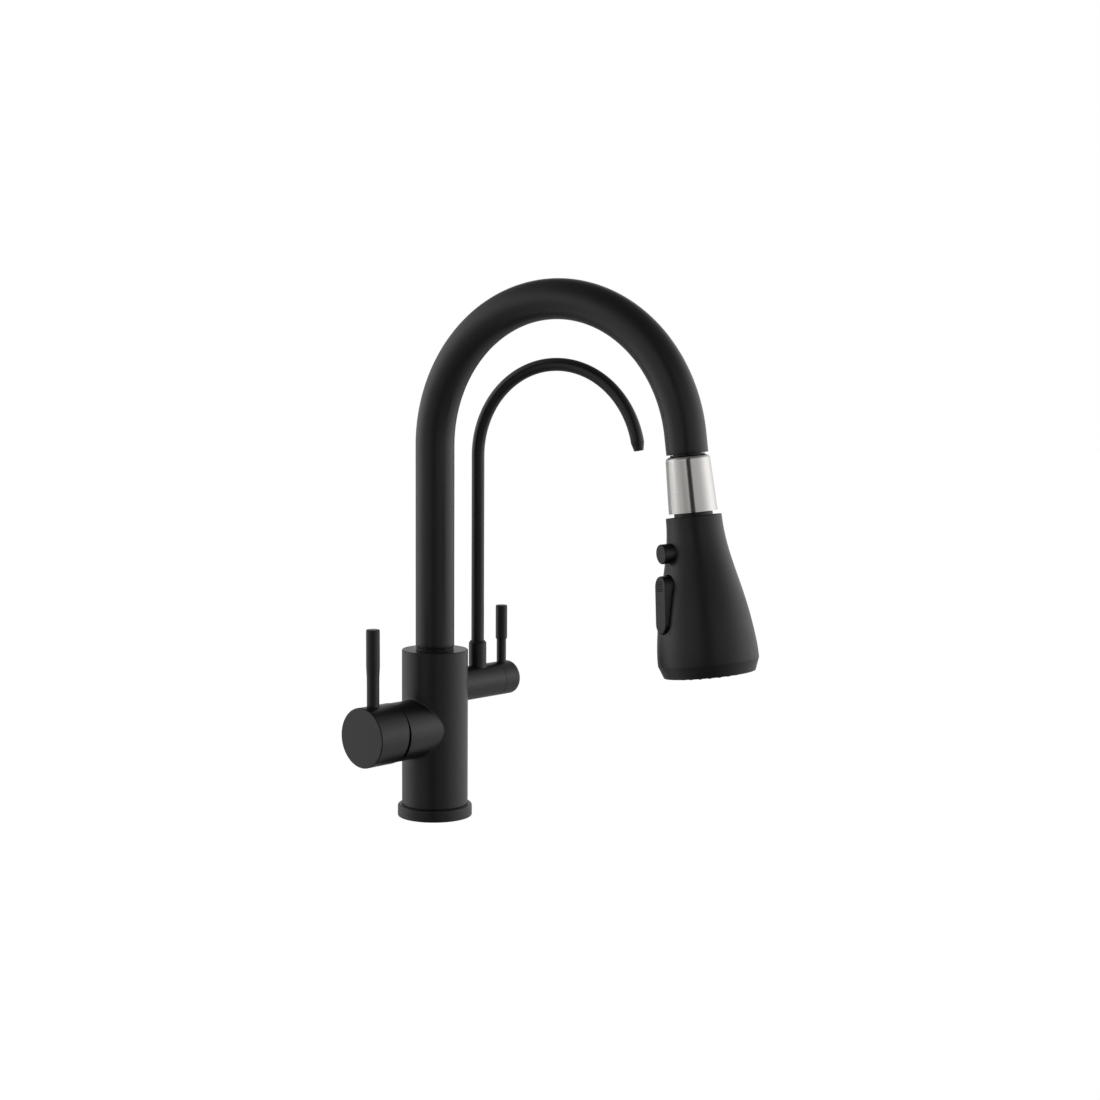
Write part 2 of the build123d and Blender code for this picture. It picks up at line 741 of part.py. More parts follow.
filter_groove_radius = filter_foot_radius - 2 * filter_ring_radius
with BuildPart() as filter_foot:
    with BuildSketch(Plane.XY.offset(filter_foot_bottom)):
        with Locations((filter_spout_reach, 0)):
            Circle(filter_foot_radius)
    extrude(amount=filter_tube_bottom - close_gap - filter_foot_bottom)
    with BuildSketch(Plane.XY.offset(filter_tube_bottom - close_gap)):
        with Locations((filter_spout_reach, 0)):
            Circle(filter_tube_radius - filter_tube_wall)
    extrude(amount=filter_foot_overlap)
    with Locations(Plane(origin=filter_base + up * (filter_tube_bottom + filter_foot_overlap), z_dir=up)):
        Hole(filter_nozzle_bore)
    with BuildSketch(Plane.XY.offset(filter_ring_height - filter_ring_radius)):
        with Locations((filter_spout_reach, 0)):
            Circle(filter_foot_radius + slip)
            Circle(filter_groove_radius, mode=Mode.SUBTRACT)
    extrude(amount=2 * filter_ring_radius, mode=Mode.SUBTRACT)
finish(filter_foot, "filter_foot")

filter_seal = ring_around(
    filter_base, up, filter_ring_height, filter_foot_radius - filter_ring_radius, filter_ring_radius
)
finish(filter_seal, "filter_seal")

with BuildPart() as filter_tube:
    with BuildLine(section_plane(filter_base, filter_out, up)) as filter_path:
        Line((0, filter_tube_bottom), (0, filter_bend_height))
        CenterArc((filter_bend_radius, filter_bend_height), filter_bend_radius, 180, -filter_bend_angle)
    with BuildSketch(Plane(origin=filter_base + up * filter_tube_bottom, z_dir=up)):
        Circle(filter_tube_radius)
        Circle(filter_tube_radius - filter_tube_wall, mode=Mode.SUBTRACT)
    sweep()
finish(filter_tube, "filter_tube")

# The nozzle's plug is straight in a bent tube, so it is a little thinner than the tube's bore.
nozzle_section = section_plane(filter_bend_end, filter_out.cross(up), filter_axis)
plug_radius = filter_tube_radius - filter_tube_wall - close_gap
with BuildPart() as filter_nozzle:
    with BuildSketch(nozzle_section):
        with BuildLine():
            Polyline(
                (filter_nozzle_bore, -filter_nozzle_plug),
                (plug_radius, -filter_nozzle_plug),
                (plug_radius, 0),
                (filter_tube_radius, 0),
                (filter_nozzle_radius, filter_nozzle_length),
                (filter_nozzle_bore, filter_nozzle_length),
                close=True,
            )
        make_face()
    revolve(axis=Axis(filter_bend_end, filter_axis))
finish(filter_nozzle, "filter_nozzle")

# Main spout: turned foot with two seals and the groove for the screw, bent tube, docking insert
with BuildPart() as spout_foot:
    with BuildSketch(Plane.XY.offset(body_top - foot_depth)):
        Circle(foot_radius - slip)
    extrude(amount=foot_depth + swivel_ring_height + close_gap)
    with BuildSketch(Plane.XY.offset(ring_top + close_gap)):
        Circle(tube_radius - tube_wall)
    extrude(amount=tube_bottom + foot_overlap - ring_top - close_gap)
    for depth in foot_ring_depths:
        with BuildSketch(Plane.XY.offset(body_top - depth - foot_ring_radius)):
            Circle(foot_radius)
            Circle(foot_radius - slip - 2 * foot_ring_radius, mode=Mode.SUBTRACT)
        extrude(amount=2 * foot_ring_radius, mode=Mode.SUBTRACT)
    with BuildSketch(Plane.XY.offset(screw_height - foot_groove_width / 2)):
        Circle(foot_radius)
        Circle(foot_radius - foot_groove_cut, mode=Mode.SUBTRACT)
    extrude(amount=foot_groove_width, mode=Mode.SUBTRACT)
    with Locations(Plane.XY.offset(tube_bottom + foot_overlap)):
        Hole(foot_bore_radius)
finish(spout_foot, "spout_foot")

for number, depth in enumerate(foot_ring_depths, start=1):
    spout_seal = ring_around(
        Vector(0, 0, 0), up, body_top - depth, foot_radius - slip - foot_ring_radius, foot_ring_radius
    )
    finish(spout_seal, f"spout_seal_{number}")

with BuildPart() as spout_tube:
    with BuildLine(section_plane(Vector(0, 0, 0), spout_out, up)) as tube_path:
        Line((0, tube_bottom), (0, bend_height))
        tube_bend = CenterArc((bend_radius, bend_height), bend_radius, 180, -bend_angle)
        Line(tube_bend @ 1, tube_end)
    with BuildSketch(Plane(origin=up * tube_bottom, z_dir=up)):
        Circle(tube_radius)
        Circle(tube_radius - tube_wall, mode=Mode.SUBTRACT)
    sweep()
finish(spout_tube, "spout_tube")

insert_radius = tube_radius - tube_wall - slip
dock_insert = turned_on_pull_axis(
    (insert_bore_radius, 0),
    (insert_radius, 0),
    (insert_radius, -insert_length),
    (insert_throat_radius, -insert_length),
    (insert_throat_radius, insert_throat_length - insert_length),
    (insert_bore_radius, spigot_tip),
)
finish(dock_insert, "dock_insert")

# Hose: from the docked spray head up and over inside the tube, and down through the body
hose_top = tube_end + pull_axis * hose_dock_end
with BuildPart() as pullout_hose:
    with BuildLine(section_plane(Vector(0, 0, 0), spout_out, up)) as hose_path:
        Line((0, base_floor), (0, bend_height))
        hose_bend = CenterArc((bend_radius, bend_height), bend_radius, 180, -bend_angle)
        Line(hose_bend @ 1, hose_top)
    with BuildSketch(Plane(origin=up * base_floor, z_dir=up)):
        Circle(hose_radius)
        Circle(hose_bore_radius, mode=Mode.SUBTRACT)
    sweep()
finish(pullout_hose, "pullout_hose")
hose_length = sum(run.length for run in hose_path.line.edges())
print("hose: bend radius", bend_radius, "length", round(hose_length, 1))

# Pull-out connector: docking spigot, hose ferrule, steel sleeve and the neck that the head turns on
hose_ferrule = turned_on_pull_axis(
    (hose_bore_radius, hose_dock_end),
    (ferrule_radius, hose_dock_end),
    (ferrule_radius, hose_dock_end + ferrule_length),
    (hose_bore_radius, hose_dock_end + ferrule_length),
)
finish(hose_ferrule, "hose_ferrule")

hub_chamfer = sleeve_wall + close_gap
dock_spigot = turned_on_pull_axis(
    (spigot_bore_radius, spigot_tip),
    (spigot_tip_radius, spigot_tip),
    (spigot_radius, spigot_tip + spigot_lead),
    (spigot_radius, dock_gap),
    (neck_radius, dock_gap),
    (neck_radius, sleeve_seat),
    (hub_radius - hub_chamfer, sleeve_seat),
    (hub_radius, sleeve_seat + hub_chamfer),
    (hub_radius, hub_end),
    (spigot_bore_radius, hub_end),
)
finish(dock_spigot, "dock_spigot")

sleeve_taper = (sleeve_bottom_radius - sleeve_top_radius) / sleeve_length
with BuildPart() as steel_sleeve:
    with BuildSketch(head_section):
        with BuildLine():
            Polyline(
                (neck_radius + slip, sleeve_top),
                (sleeve_top_radius, sleeve_top),
                (sleeve_bottom_radius, sleeve_bottom),
                (sleeve_bottom_radius - sleeve_wall, sleeve_bottom),
                (sleeve_top_radius - sleeve_wall, sleeve_seat),
                (neck_radius + slip, sleeve_seat),
                close=True,
            )
        shoulder = make_face().vertices().sort_by(Axis.Y).group_by(Axis.Y)
        fillet(shoulder[0].sort_by(Axis.X)[-1], sleeve_shoulder)
        fillet(shoulder[1].sort_by(Axis.X)[-1], sleeve_shoulder - sleeve_wall)
    revolve(axis=pull_line)
    with BuildSketch(head_section):
        with Locations((sleeve_bottom_radius, sleeve_bottom - sleeve_lip_height)):
            Rectangle(2 * sleeve_lip_depth, sleeve_lip_depth)
    revolve(axis=pull_line, mode=Mode.SUBTRACT)
finish(steel_sleeve, "steel_sleeve")

flange_radius = sleeve_top_radius - sleeve_wall + sleeve_taper * (swivel_flange_start - sleeve_top)
groove_floor = swivel_neck_radius - 2 * neck_ring_radius
swivel_neck = turned_on_pull_axis(
    (spigot_bore_radius, hub_end),
    (swivel_neck_radius, hub_end),
    (swivel_neck_radius, swivel_flange_start),
    (flange_radius - slip, swivel_flange_start),
    (flange_radius - slip, swivel_flange_end),
    (swivel_neck_radius, swivel_flange_end),
    (swivel_neck_radius, neck_ring_place - neck_ring_radius),
    (groove_floor, neck_ring_place - neck_ring_radius),
    (groove_floor, neck_ring_place + neck_ring_radius),
    (swivel_neck_radius, neck_ring_place + neck_ring_radius),
    (swivel_neck_radius, swivel_neck_end),
    (spigot_bore_radius, swivel_neck_end),
)
finish(swivel_neck, "swivel_neck")

neck_seal = ring_around(
    tube_end, pull_axis, neck_ring_place, swivel_neck_radius - neck_ring_radius, neck_ring_radius
)
finish(neck_seal, "neck_seal")

# Planes that face the head's controls: local Y runs along the pull axis
controls_side = pull_axis.cross(controls_out)


def controls_plane(depth):
    """A plane square to the controls' direction, at a distance from the pull axis."""
    return Plane(origin=head_point(depth, 0), x_dir=controls_side, z_dir=controls_out)


def toggle_outline(gap):
    """The rocker's outline, round at both ends, grown by a gap."""
    with BuildSketch(mode=Mode.PRIVATE) as outline:
        with BuildLine():
            Polyline(
                (toggle_width / 2 + gap, toggle_top - gap),
                (-toggle_width / 2 - gap, toggle_top - gap),
                (-toggle_tail_width / 2 - gap, toggle_bottom + gap),
                (toggle_tail_width / 2 + gap, toggle_bottom + gap),
                close=True,
            )
        corners = make_face().vertices().group_by(Axis.Y)
        fillet(corners[0], toggle_corner + gap)
        fillet(corners[-1], toggle_tail_corner + gap)
    return outline.sketch


# Head shell: a flared skin with a socket for the neck and openings for the button and the rocker
skin = ((head_waist_radius, head_waist), (head_flare_radius, head_flare), (head_skirt_radius, head_skirt))
with BuildPart() as head_shell:
    with BuildSketch(head_section):
        with BuildLine():
            flare = Spline(
                (head_top_radius, head_top),
                *skin,
                (head_widest_radius, head_widest),
                tangents=((0, 1), (0, 1)),
            )
            Polyline(
                flare @ 1,
                (head_bottom_radius, head_bottom),
                (0, head_bottom),
                (0, head_top),
                flare @ 0,
            )
        make_face()
    revolve(axis=pull_line)
    bottom_rim = head_shell.edges().filter_by(GeomType.CIRCLE).sort_by(pull_line)
    chamfer(bottom_rim[0], head_edge_chamfer)
    fillet(bottom_rim[-1], head_rim_fillet)
    with BuildSketch(head_section):
        with BuildLine():
            inner = Spline(
                (head_cavity_radius, head_cavity_top),
                *((radius - head_wall, place) for radius, place in skin),
                (head_widest_radius - head_wall, head_cavity_bottom),
            )
            Polyline(
                inner @ 1,
                (face_radius + slip, head_cavity_bottom),
                (face_radius + slip, head_bottom),
                (0, head_bottom),
                (0, head_cavity_top),
                inner @ 0,
            )
        make_face()
    revolve(axis=pull_line, mode=Mode.SUBTRACT)
    with Locations(head_plane.offset(head_top) * Location((0, 0, 0), (180, 0, 0))):
        CounterBoreHole(
            spigot_bore_radius,
            swivel_neck_radius + slip,
            head_socket_floor - head_top,
            head_cavity_top - head_top + free_gap,
        )
    with BuildSketch(controls_plane(core_radius)):
        with Locations((0, button_place)):
            Circle(button_radius + slip)
    extrude(amount=button_face - core_radius, mode=Mode.SUBTRACT)
    with BuildSketch(controls_plane(core_radius)):
        add(toggle_outline(toggle_gap))
    extrude(amount=head_widest_radius - core_radius, mode=Mode.SUBTRACT)
    with Locations(Plane(origin=head_point(toggle_pin_depth, toggle_pin_place), z_dir=controls_side)):
        Cylinder(toggle_pin_radius, 2 * toggle_pin_half_length, mode=Mode.SUBTRACT)
finish(head_shell, "head_shell")

# Core of the spray selector, which carries the button's stem
with BuildPart() as diverter_core:
    with BuildSketch(head_section):
        with BuildLine():
            Polyline(
                (hose_bore_radius, core_start),
                (core_neck_radius, core_start),
                (core_neck_radius, core_neck_end),
                (core_radius, core_neck_end),
                (core_radius, core_flange_start),
                (core_flange_radius, core_flange_start),
                (core_flange_radius, core_end),
                (hose_bore_radius, core_end),
                close=True,
            )
        make_face()
    revolve(axis=pull_line)
    with BuildSketch(controls_plane(button_bore_end)):
        with Locations((0, button_place)):
            Circle(button_stem_radius + slip)
    extrude(amount=core_radius, mode=Mode.SUBTRACT)
finish(diverter_core, "diverter_core")

# Spray face with rings of nozzles round the aerator
nozzle_taper = degrees(atan2(nozzle_base_radius - nozzle_tip_radius, nozzle_height + nozzle_root))
with BuildPart() as spray_face:
    with BuildSketch(head_plane.offset(face_back)):
        Circle(face_radius)
        Circle(aerator_radius + slip, mode=Mode.SUBTRACT)
    extrude(amount=face_thickness)
    with BuildSketch(head_plane.offset(face_front - nozzle_root)):
        for ring_radius, count in zip(nozzle_ring_radii, nozzle_ring_counts):
            with PolarLocations(ring_radius, count):
                Circle(nozzle_base_radius)
    extrude(amount=nozzle_height + nozzle_root, taper=nozzle_taper)
finish(spray_face, "spray_face")

aerator = turned_on_pull_axis(
    (0, face_back),
    (aerator_radius, face_back),
    (aerator_radius, face_front + aerator_stand),
    (aerator_bore_radius, face_front + aerator_stand),
    (aerator_bore_radius, face_front + aerator_stand - aerator_bore_depth),
    (0, face_front + aerator_stand - aerator_bore_depth),
)
finish(aerator, "aerator")

# Button with its stem and return spring
with BuildPart() as spray_button:
    with BuildSketch(controls_plane(button_back)):
        with Locations((0, button_place)):
            Circle(button_radius)
    extrude(amount=button_face - button_back)
    fillet(spray_button.faces().sort_by(Axis(tube_end, controls_out))[-1].edges(), button_edge_fillet)
    with BuildSketch(controls_plane(button_stem_end)):
        with Locations((0, button_place)):
            Circle(button_stem_radius)
    extrude(amount=button_back - button_stem_end)
finish(spray_button, "spray_button")

with BuildPart() as button_spring:
    with BuildSketch(controls_plane(core_neck_radius + close_gap)):
        with Locations((0, button_place)):
            Circle(button_spring_radius + button_wire_radius)
            Circle(button_spring_radius - button_wire_radius, mode=Mode.SUBTRACT)
    extrude(amount=button_back - core_neck_radius - 2 * close_gap)
finish(button_spring, "button_spring")

# Rocker that selects spray or stream, with grip ribs near its top, and its pin
toggle_rise = (toggle_face_bottom - toggle_face_top) / toggle_length
face_along = (pull_axis + controls_out * toggle_rise).normalized()
face_plane = Plane(
    origin=head_point(toggle_face_top, toggle_top), x_dir=controls_side, z_dir=controls_side.cross(face_along)
)
with BuildPart() as spray_toggle:
    with BuildSketch(controls_plane(toggle_back)):
        add(toggle_outline(0))
    extrude(amount=toggle_face_bottom + toggle_gap - toggle_back)
    with BuildSketch(face_plane):
        with Locations((0, toggle_length / 2)):
            Rectangle(2 * toggle_width, 2 * toggle_length)
    extrude(amount=toggle_width, mode=Mode.SUBTRACT)
    fillet(spray_toggle.faces().filter_by(face_plane)[-1].edges(), toggle_edge_fillet)
    with BuildSketch(face_plane.offset(-rib_height)):
        for rib in range(rib_count):
            with Locations((0, rib_start + rib * rib_pitch)):
                Rectangle(rib_width, rib_thickness)
    extrude(amount=2 * rib_height)
    with Locations(Plane(origin=head_point(toggle_pin_depth, toggle_pin_place), z_dir=controls_side)):
        Cylinder(toggle_pin_radius + slip, 2 * toggle_width, mode=Mode.SUBTRACT)
finish(spray_toggle, "spray_toggle")

with BuildPart() as toggle_pin:
    with Locations(Plane(origin=head_point(toggle_pin_depth, toggle_pin_place), z_dir=controls_side)):
        Cylinder(toggle_pin_radius, 2 * (toggle_pin_half_length - slip))
finish(toggle_pin, "toggle_pin")
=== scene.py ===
import bpy
import bmesh
import json
import math
from mathutils import Matrix, Vector
from mathutils.bvhtree import BVHTree


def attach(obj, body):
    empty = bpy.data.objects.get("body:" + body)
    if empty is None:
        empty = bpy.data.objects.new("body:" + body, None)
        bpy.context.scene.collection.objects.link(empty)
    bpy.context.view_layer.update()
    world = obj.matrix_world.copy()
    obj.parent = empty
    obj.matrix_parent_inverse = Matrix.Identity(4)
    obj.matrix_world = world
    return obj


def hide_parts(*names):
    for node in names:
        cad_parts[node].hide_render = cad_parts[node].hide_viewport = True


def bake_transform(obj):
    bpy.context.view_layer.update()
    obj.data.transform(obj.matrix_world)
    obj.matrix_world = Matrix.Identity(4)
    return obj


# A black kitchen mixer: high curved spout with a pull-out spray head, and a slim spout for filtered
# water. Sizes in the dictionaries are millimetres, and become metres where a mesh or node needs them.

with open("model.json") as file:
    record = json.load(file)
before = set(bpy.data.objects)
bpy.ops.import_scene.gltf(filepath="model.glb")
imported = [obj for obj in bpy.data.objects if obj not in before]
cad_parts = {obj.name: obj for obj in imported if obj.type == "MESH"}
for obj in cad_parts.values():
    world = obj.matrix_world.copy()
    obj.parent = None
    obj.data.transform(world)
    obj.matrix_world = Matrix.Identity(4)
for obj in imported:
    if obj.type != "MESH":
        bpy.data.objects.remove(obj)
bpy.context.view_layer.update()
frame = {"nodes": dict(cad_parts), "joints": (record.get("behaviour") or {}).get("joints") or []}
nodes = frame["nodes"]
joints = {joint["name"]: joint for joint in frame["joints"]}
mm = 0.001
print("frame loaded:", len(nodes), "nodes")


def frameAt(origin, x, y, z):
    return Matrix.Translation(origin) @ Matrix((x, y, z)).transposed().to_4x4()


# The spray head's own frame: X out through the button, Z down along the line that the head is pulled
pullAxis = Vector(joints["head_pull"]["axis"]).normalized()
tubeEnd = Vector(joints["head_spin"]["pos_m"])
buttonOut = -Vector(joints["button_press"]["axis"]).normalized()
buttonSide = pullAxis.cross(buttonOut)
headFrame = frameAt(tubeEnd, buttonOut, buttonSide, pullAxis)


def addNode(tree, kind, values=None, **settings):
    node = tree.nodes.new(kind)
    for name, value in settings.items():
        setattr(node, name, value)
    for name, value in (values or {}).items():
        if isinstance(value, bpy.types.NodeSocket):
            tree.links.new(value, node.inputs[name])
        else:
            node.inputs[name].default_value = value
    return node


def calc(tree, operation, *values):
    return addNode(tree, "ShaderNodeMath", dict(enumerate(values)), operation=operation).outputs[0]


def vectorCalc(tree, operation, first, second):
    return addNode(tree, "ShaderNodeVectorMath", {0: first, 1: second}, operation=operation).outputs


def makeVector(tree, x=0.0, y=0.0, z=0.0):
    return addNode(tree, "ShaderNodeCombineXYZ", {"X": x, "Y": y, "Z": z}).outputs[0]


def mixValues(tree, factor, first, second):
    return addNode(tree, "ShaderNodeMix", {"Factor": factor, "A": first, "B": second}).outputs["Result"]


def mapTo(tree, value, fromLow, fromHigh, low, high, smooth=False):
    kind = "SMOOTHSTEP" if smooth else "LINEAR"
    values = {"Value": value, "From Min": fromLow, "From Max": fromHigh, "To Min": low, "To Max": high}
    return addNode(tree, "ShaderNodeMapRange", values, interpolation_type=kind).outputs[0]


# ---- camera, light and floor

studio = {
    "cameraPlace": (-1.0561, -1.0831, 0.3522),
    "cameraTurn": (84.365, -0.343, -47.524),
    "cameraLens": 65.97,
    "cameraClip": (0.05, 50),
    "sensorWidth": 36,
    # brightness of the light tent round the tap, by degrees to the right of the camera
    "wall": ((-180, 0.85), (-161, 0.5), (-153, 0.35), (-143, 0.75), (-125, 1.2), (-108, 1.38),
             (-92, 1.5), (-80, 1.0), (-65, 0.66), (-52, 0.62), (-40, 0.68), (-25, 0.72), (-17, 0.7),
             (-13, 0.0),
             (4, 0.0), (9, 0.62), (20, 0.64), (35, 0.68), (48, 0.74), (62, 0.95), (78, 1.3), (92, 1.6),
             (110, 1.65), (130, 1.3), (152, 0.9), (180, 0.85)),
    # share of the wall at each height, and what the ceiling adds: -1 is straight down, 1 straight up
    "wallHeight": ((-1, 0.26), (-0.4, 0.58), (-0.15, 0.95), (0, 1.0), (0.25, 0.9), (0.45, 0.6),
                   (0.7, 0.17), (1, 0.0)),
    "ceiling": ((-1, 0.0), (0.4, 0.0), (0.75, 0.03), (1, 0.06)),
    # in front of the tap the tent is dark low down: how much, to which bearings and up to which height
    "lowDark": 0.6,
    "lowDarkBearing": (28, 60),
    "lowDarkHeight": (0.02, 0.16),
    "glossShare": 0.05,  # plain white in what gloss shows of the tent
    "floorRadius": 6000,
    "floorSides": 64,
    "floorColor": (0.8, 0.8, 0.8, 1),
    "floorGlow": 1.15,
    "floorSeen": 0.85,  # share of the glow in what the camera sees of the floor
    "floorInGloss": 0.3,  # share of the floor in gloss, where the tent shows below it
}


def addRamp(tree, value, stops, low, high):
    node = addNode(tree, "ShaderNodeValToRGB", {"Fac": mapTo(tree, value, low, high, 0, 1)})
    elements = node.color_ramp.elements
    while len(elements) < len(stops):
        elements.new(0.5)
    for element, (place, level) in zip(elements, stops):
        element.position = (place - stops[0][0]) / (stops[-1][0] - stops[0][0])
        element.color = (level, level, level, 1)
    return node.outputs["Color"]


def makeCamera():
    data = bpy.data.cameras.new("camera")
    data.lens = studio["cameraLens"]
    data.sensor_width = studio["sensorWidth"]
    data.clip_start, data.clip_end = studio["cameraClip"]
    camera = bpy.data.objects.new("camera", data)
    camera.location = studio["cameraPlace"]
    camera.rotation_euler = [math.radians(angle) for angle in studio["cameraTurn"]]
    bpy.context.scene.collection.objects.link(camera)
    bpy.context.scene.camera = camera


def makeWorld():
    world = bpy.data.worlds.new("studio")
    bpy.context.scene.world = world
    world.use_nodes = True
    tree = world.node_tree
    tree.nodes.clear()
    ray = addNode(tree, "ShaderNodeTexCoord").outputs["Generated"]
    turn = math.radians(studio["cameraTurn"][2])
    toCamera = (math.sin(turn), -math.cos(turn), 0)
    toRight = (math.cos(turn), math.sin(turn), 0)
    front = vectorCalc(tree, "DOT_PRODUCT", ray, toCamera)["Value"]
    side = vectorCalc(tree, "DOT_PRODUCT", ray, toRight)["Value"]
    bearing = calc(tree, "ARCTAN2", side, front)
    height = addNode(tree, "ShaderNodeSeparateXYZ", {0: ray}).outputs["Z"]
    wall = addRamp(tree, bearing, studio["wall"], -math.pi, math.pi)
    share = addRamp(tree, height, studio["wallHeight"], -1, 1)
    ceiling = addRamp(tree, height, studio["ceiling"], -1, 1)
    level = calc(tree, "MULTIPLY_ADD", wall, share, ceiling)
    off = calc(tree, "ABSOLUTE", bearing)
    near, far = (math.radians(angle) for angle in studio["lowDarkBearing"])
    dark = mapTo(tree, off, near, far, studio["lowDark"], 0.0, smooth=True)
    low = mapTo(tree, height, *studio["lowDarkHeight"], 1.0, 0.0, smooth=True)
    left = calc(tree, "SUBTRACT", 1.0, calc(tree, "MULTIPLY", dark, low))
    level = calc(tree, "MULTIPLY", level, left)
    tent = addNode(tree, "ShaderNodeBackground", {"Color": (1, 1, 1, 1), "Strength": level})
    white = addNode(tree, "ShaderNodeBackground", {"Color": (1, 1, 1, 1), "Strength": 1})
    path = addNode(tree, "ShaderNodeLightPath").outputs
    seen = calc(tree, "MAXIMUM", path["Is Camera Ray"], path["Is Transmission Ray"])
    gloss = calc(tree, "MULTIPLY", path["Is Glossy Ray"], studio["glossShare"])
    seen = calc(tree, "MAXIMUM", seen, gloss)
    choose = addNode(tree, "ShaderNodeMixShader", {0: seen, 1: tent.outputs[0], 2: white.outputs[0]})
    addNode(tree, "ShaderNodeOutputWorld", {"Surface": choose.outputs[0]})


def makeFloor():
    mesh = bpy.data.meshes.new("floor")
    shape = bmesh.new()
    radius = studio["floorRadius"] * mm
    bmesh.ops.create_circle(shape, cap_ends=True, segments=studio["floorSides"], radius=radius)
    shape.to_mesh(mesh)
    shape.free()
    floor = bpy.data.objects.new("floor", mesh)
    bpy.context.scene.collection.objects.link(floor)
    finish = bpy.data.materials.new("floorPaint")
    finish.use_nodes = True
    tree = finish.node_tree
    tree.nodes.clear()
    matt = addNode(tree, "ShaderNodeBsdfDiffuse", {"Color": studio["floorColor"]})
    glow = addNode(tree, "ShaderNodeEmission", {"Strength": studio["floorGlow"]})
    path = addNode(tree, "ShaderNodeLightPath").outputs
    seen = calc(tree, "MAXIMUM", path["Is Camera Ray"], path["Is Transmission Ray"])
    share = calc(tree, "MULTIPLY", seen, studio["floorSeen"])
    mix = addNode(tree, "ShaderNodeMixShader", {0: share, 1: matt.outputs[0], 2: glow.outputs[0]})
    # in gloss the pale tent shows through the floor, so it goes on below the tap as in a studio sweep
    tent = addNode(tree, "ShaderNodeBsdfTransparent").outputs[0]
    share = calc(tree, "MULTIPLY", path["Is Glossy Ray"], 1.0 - studio["floorInGloss"])
    mix = addNode(tree, "ShaderNodeMixShader", {0: share, 1: mix.outputs[0], 2: tent})
    addNode(tree, "ShaderNodeOutputMaterial", {"Surface": mix.outputs[0]})
    mesh.materials.append(finish)


makeCamera()
makeWorld()
makeFloor()
bpy.context.scene.view_settings.view_transform = "Standard"
print("camera, light and floor made")


# ---- shared surface effects

def newGroup(name, inputs, outputs):
    group = bpy.data.node_groups.new(name, "ShaderNodeTree")
    for label, kind, value in inputs:
        socket = group.interface.new_socket(name=label, in_out="INPUT", socket_type="NodeSocket" + kind)
        if value is not None:
            socket.default_value = value
    for label in outputs:
        group.interface.new_socket(name=label, in_out="OUTPUT", socket_type="NodeSocketFloat")
    return group, group.nodes.new("NodeGroupInput").outputs


# Fine pebbled skin of a powder coat, with soft ripples under it
def makeCoatSkin():
    group, given = newGroup(
        "coatSkin",
        (("Vector", "Vector", None), ("Pebble Size", "Float", 0.0004), ("Ripple Size", "Float", 0.003),
         ("Ripple Share", "Float", 0.3)),
        ("Height", "Tone"),
    )
    scale = calc(group, "DIVIDE", 1.0, given["Pebble Size"])
    values = {"Vector": given["Vector"], "Scale": scale}
    pebbles = addNode(group, "ShaderNodeTexVoronoi", values, feature="SMOOTH_F1").outputs["Distance"]
    scale = calc(group, "DIVIDE", 1.0, given["Ripple Size"])
    values = {"Vector": given["Vector"], "Scale": scale, "Detail": 2}
    ripples = addNode(group, "ShaderNodeTexNoise", values).outputs["Fac"]
    height = mixValues(group, given["Ripple Share"], pebbles, ripples)
    addNode(group, "NodeGroupOutput", {"Height": height, "Tone": ripples})
    return group


# Faint cloudy patches where hands and water have been
def makeSmudges():
    group, given = newGroup(
        "handlingSmudges",
        (("Vector", "Vector", None), ("Patch Size", "Float", 0.02), ("Edge Low", "Float", 0.4),
         ("Edge High", "Float", 0.7)),
        ("Mask",),
    )
    scale = calc(group, "DIVIDE", 1.0, given["Patch Size"])
    values = {"Vector": given["Vector"], "Scale": scale, "Detail": 4, "Distortion": 0.4}
    cloud = addNode(group, "ShaderNodeTexNoise", values).outputs["Fac"]
    mask = mapTo(group, cloud, given["Edge Low"], given["Edge High"], 0.0, 1.0, smooth=True)
    addNode(group, "NodeGroupOutput", {"Mask": mask})
    return group


# Lines left by brushing or turning: long across the local Z axis and fine along it
def makeToolLines():
    group, given = newGroup(
        "toolLines",
        (("Vector", "Vector", None), ("Line Length", "Float", 0.02), ("Line Width", "Float", 0.00015)),
        ("Height",),
    )
    fine = calc(group, "DIVIDE", 1.0, given["Line Width"])
    long = calc(group, "DIVIDE", 1.0, given["Line Length"])
    stretch = makeVector(group, long, long, fine)
    stretched = vectorCalc(group, "MULTIPLY", given["Vector"], stretch)["Vector"]
    streaks = addNode(group, "ShaderNodeTexNoise", {"Vector": stretched, "Scale": 1, "Detail": 3})
    addNode(group, "NodeGroupOutput", {"Height": streaks.outputs["Fac"]})
    return group


# Strands wound both ways round the local Z axis, each passing over and under the others
def makeBraid():
    group, given = newGroup(
        "wovenStrands",
        (("Vector", "Vector", None), ("Strands", "Float", 12.0), ("Lay Length", "Float", 0.03)),
        ("Height",),
    )
    place = addNode(group, "ShaderNodeSeparateXYZ", {0: given["Vector"]}).outputs
    turn = calc(group, "ARCTAN2", place["Y"], place["X"])
    around = calc(group, "MULTIPLY", turn, given["Strands"])
    climb = calc(group, "DIVIDE", place["Z"], given["Lay Length"])
    climb = calc(group, "MULTIPLY", calc(group, "MULTIPLY", climb, given["Strands"]), 2 * math.pi)
    left = calc(group, "ADD", around, climb)
    right = calc(group, "SUBTRACT", around, climb)
    leftHeight = calc(group, "ABSOLUTE", calc(group, "COSINE", left))
    rightHeight = calc(group, "ABSOLUTE", calc(group, "COSINE", right))
    over = calc(group, "MULTIPLY", calc(group, "SINE", left), calc(group, "SINE", right))
    crossing = 0.15  # how sharply one strand dips under the next
    weave = mapTo(group, over, -crossing, crossing, 0.0, 1.0, smooth=True)
    height = mixValues(group, weave, leftHeight, rightHeight)
    addNode(group, "NodeGroupOutput", {"Height": height})
    return group


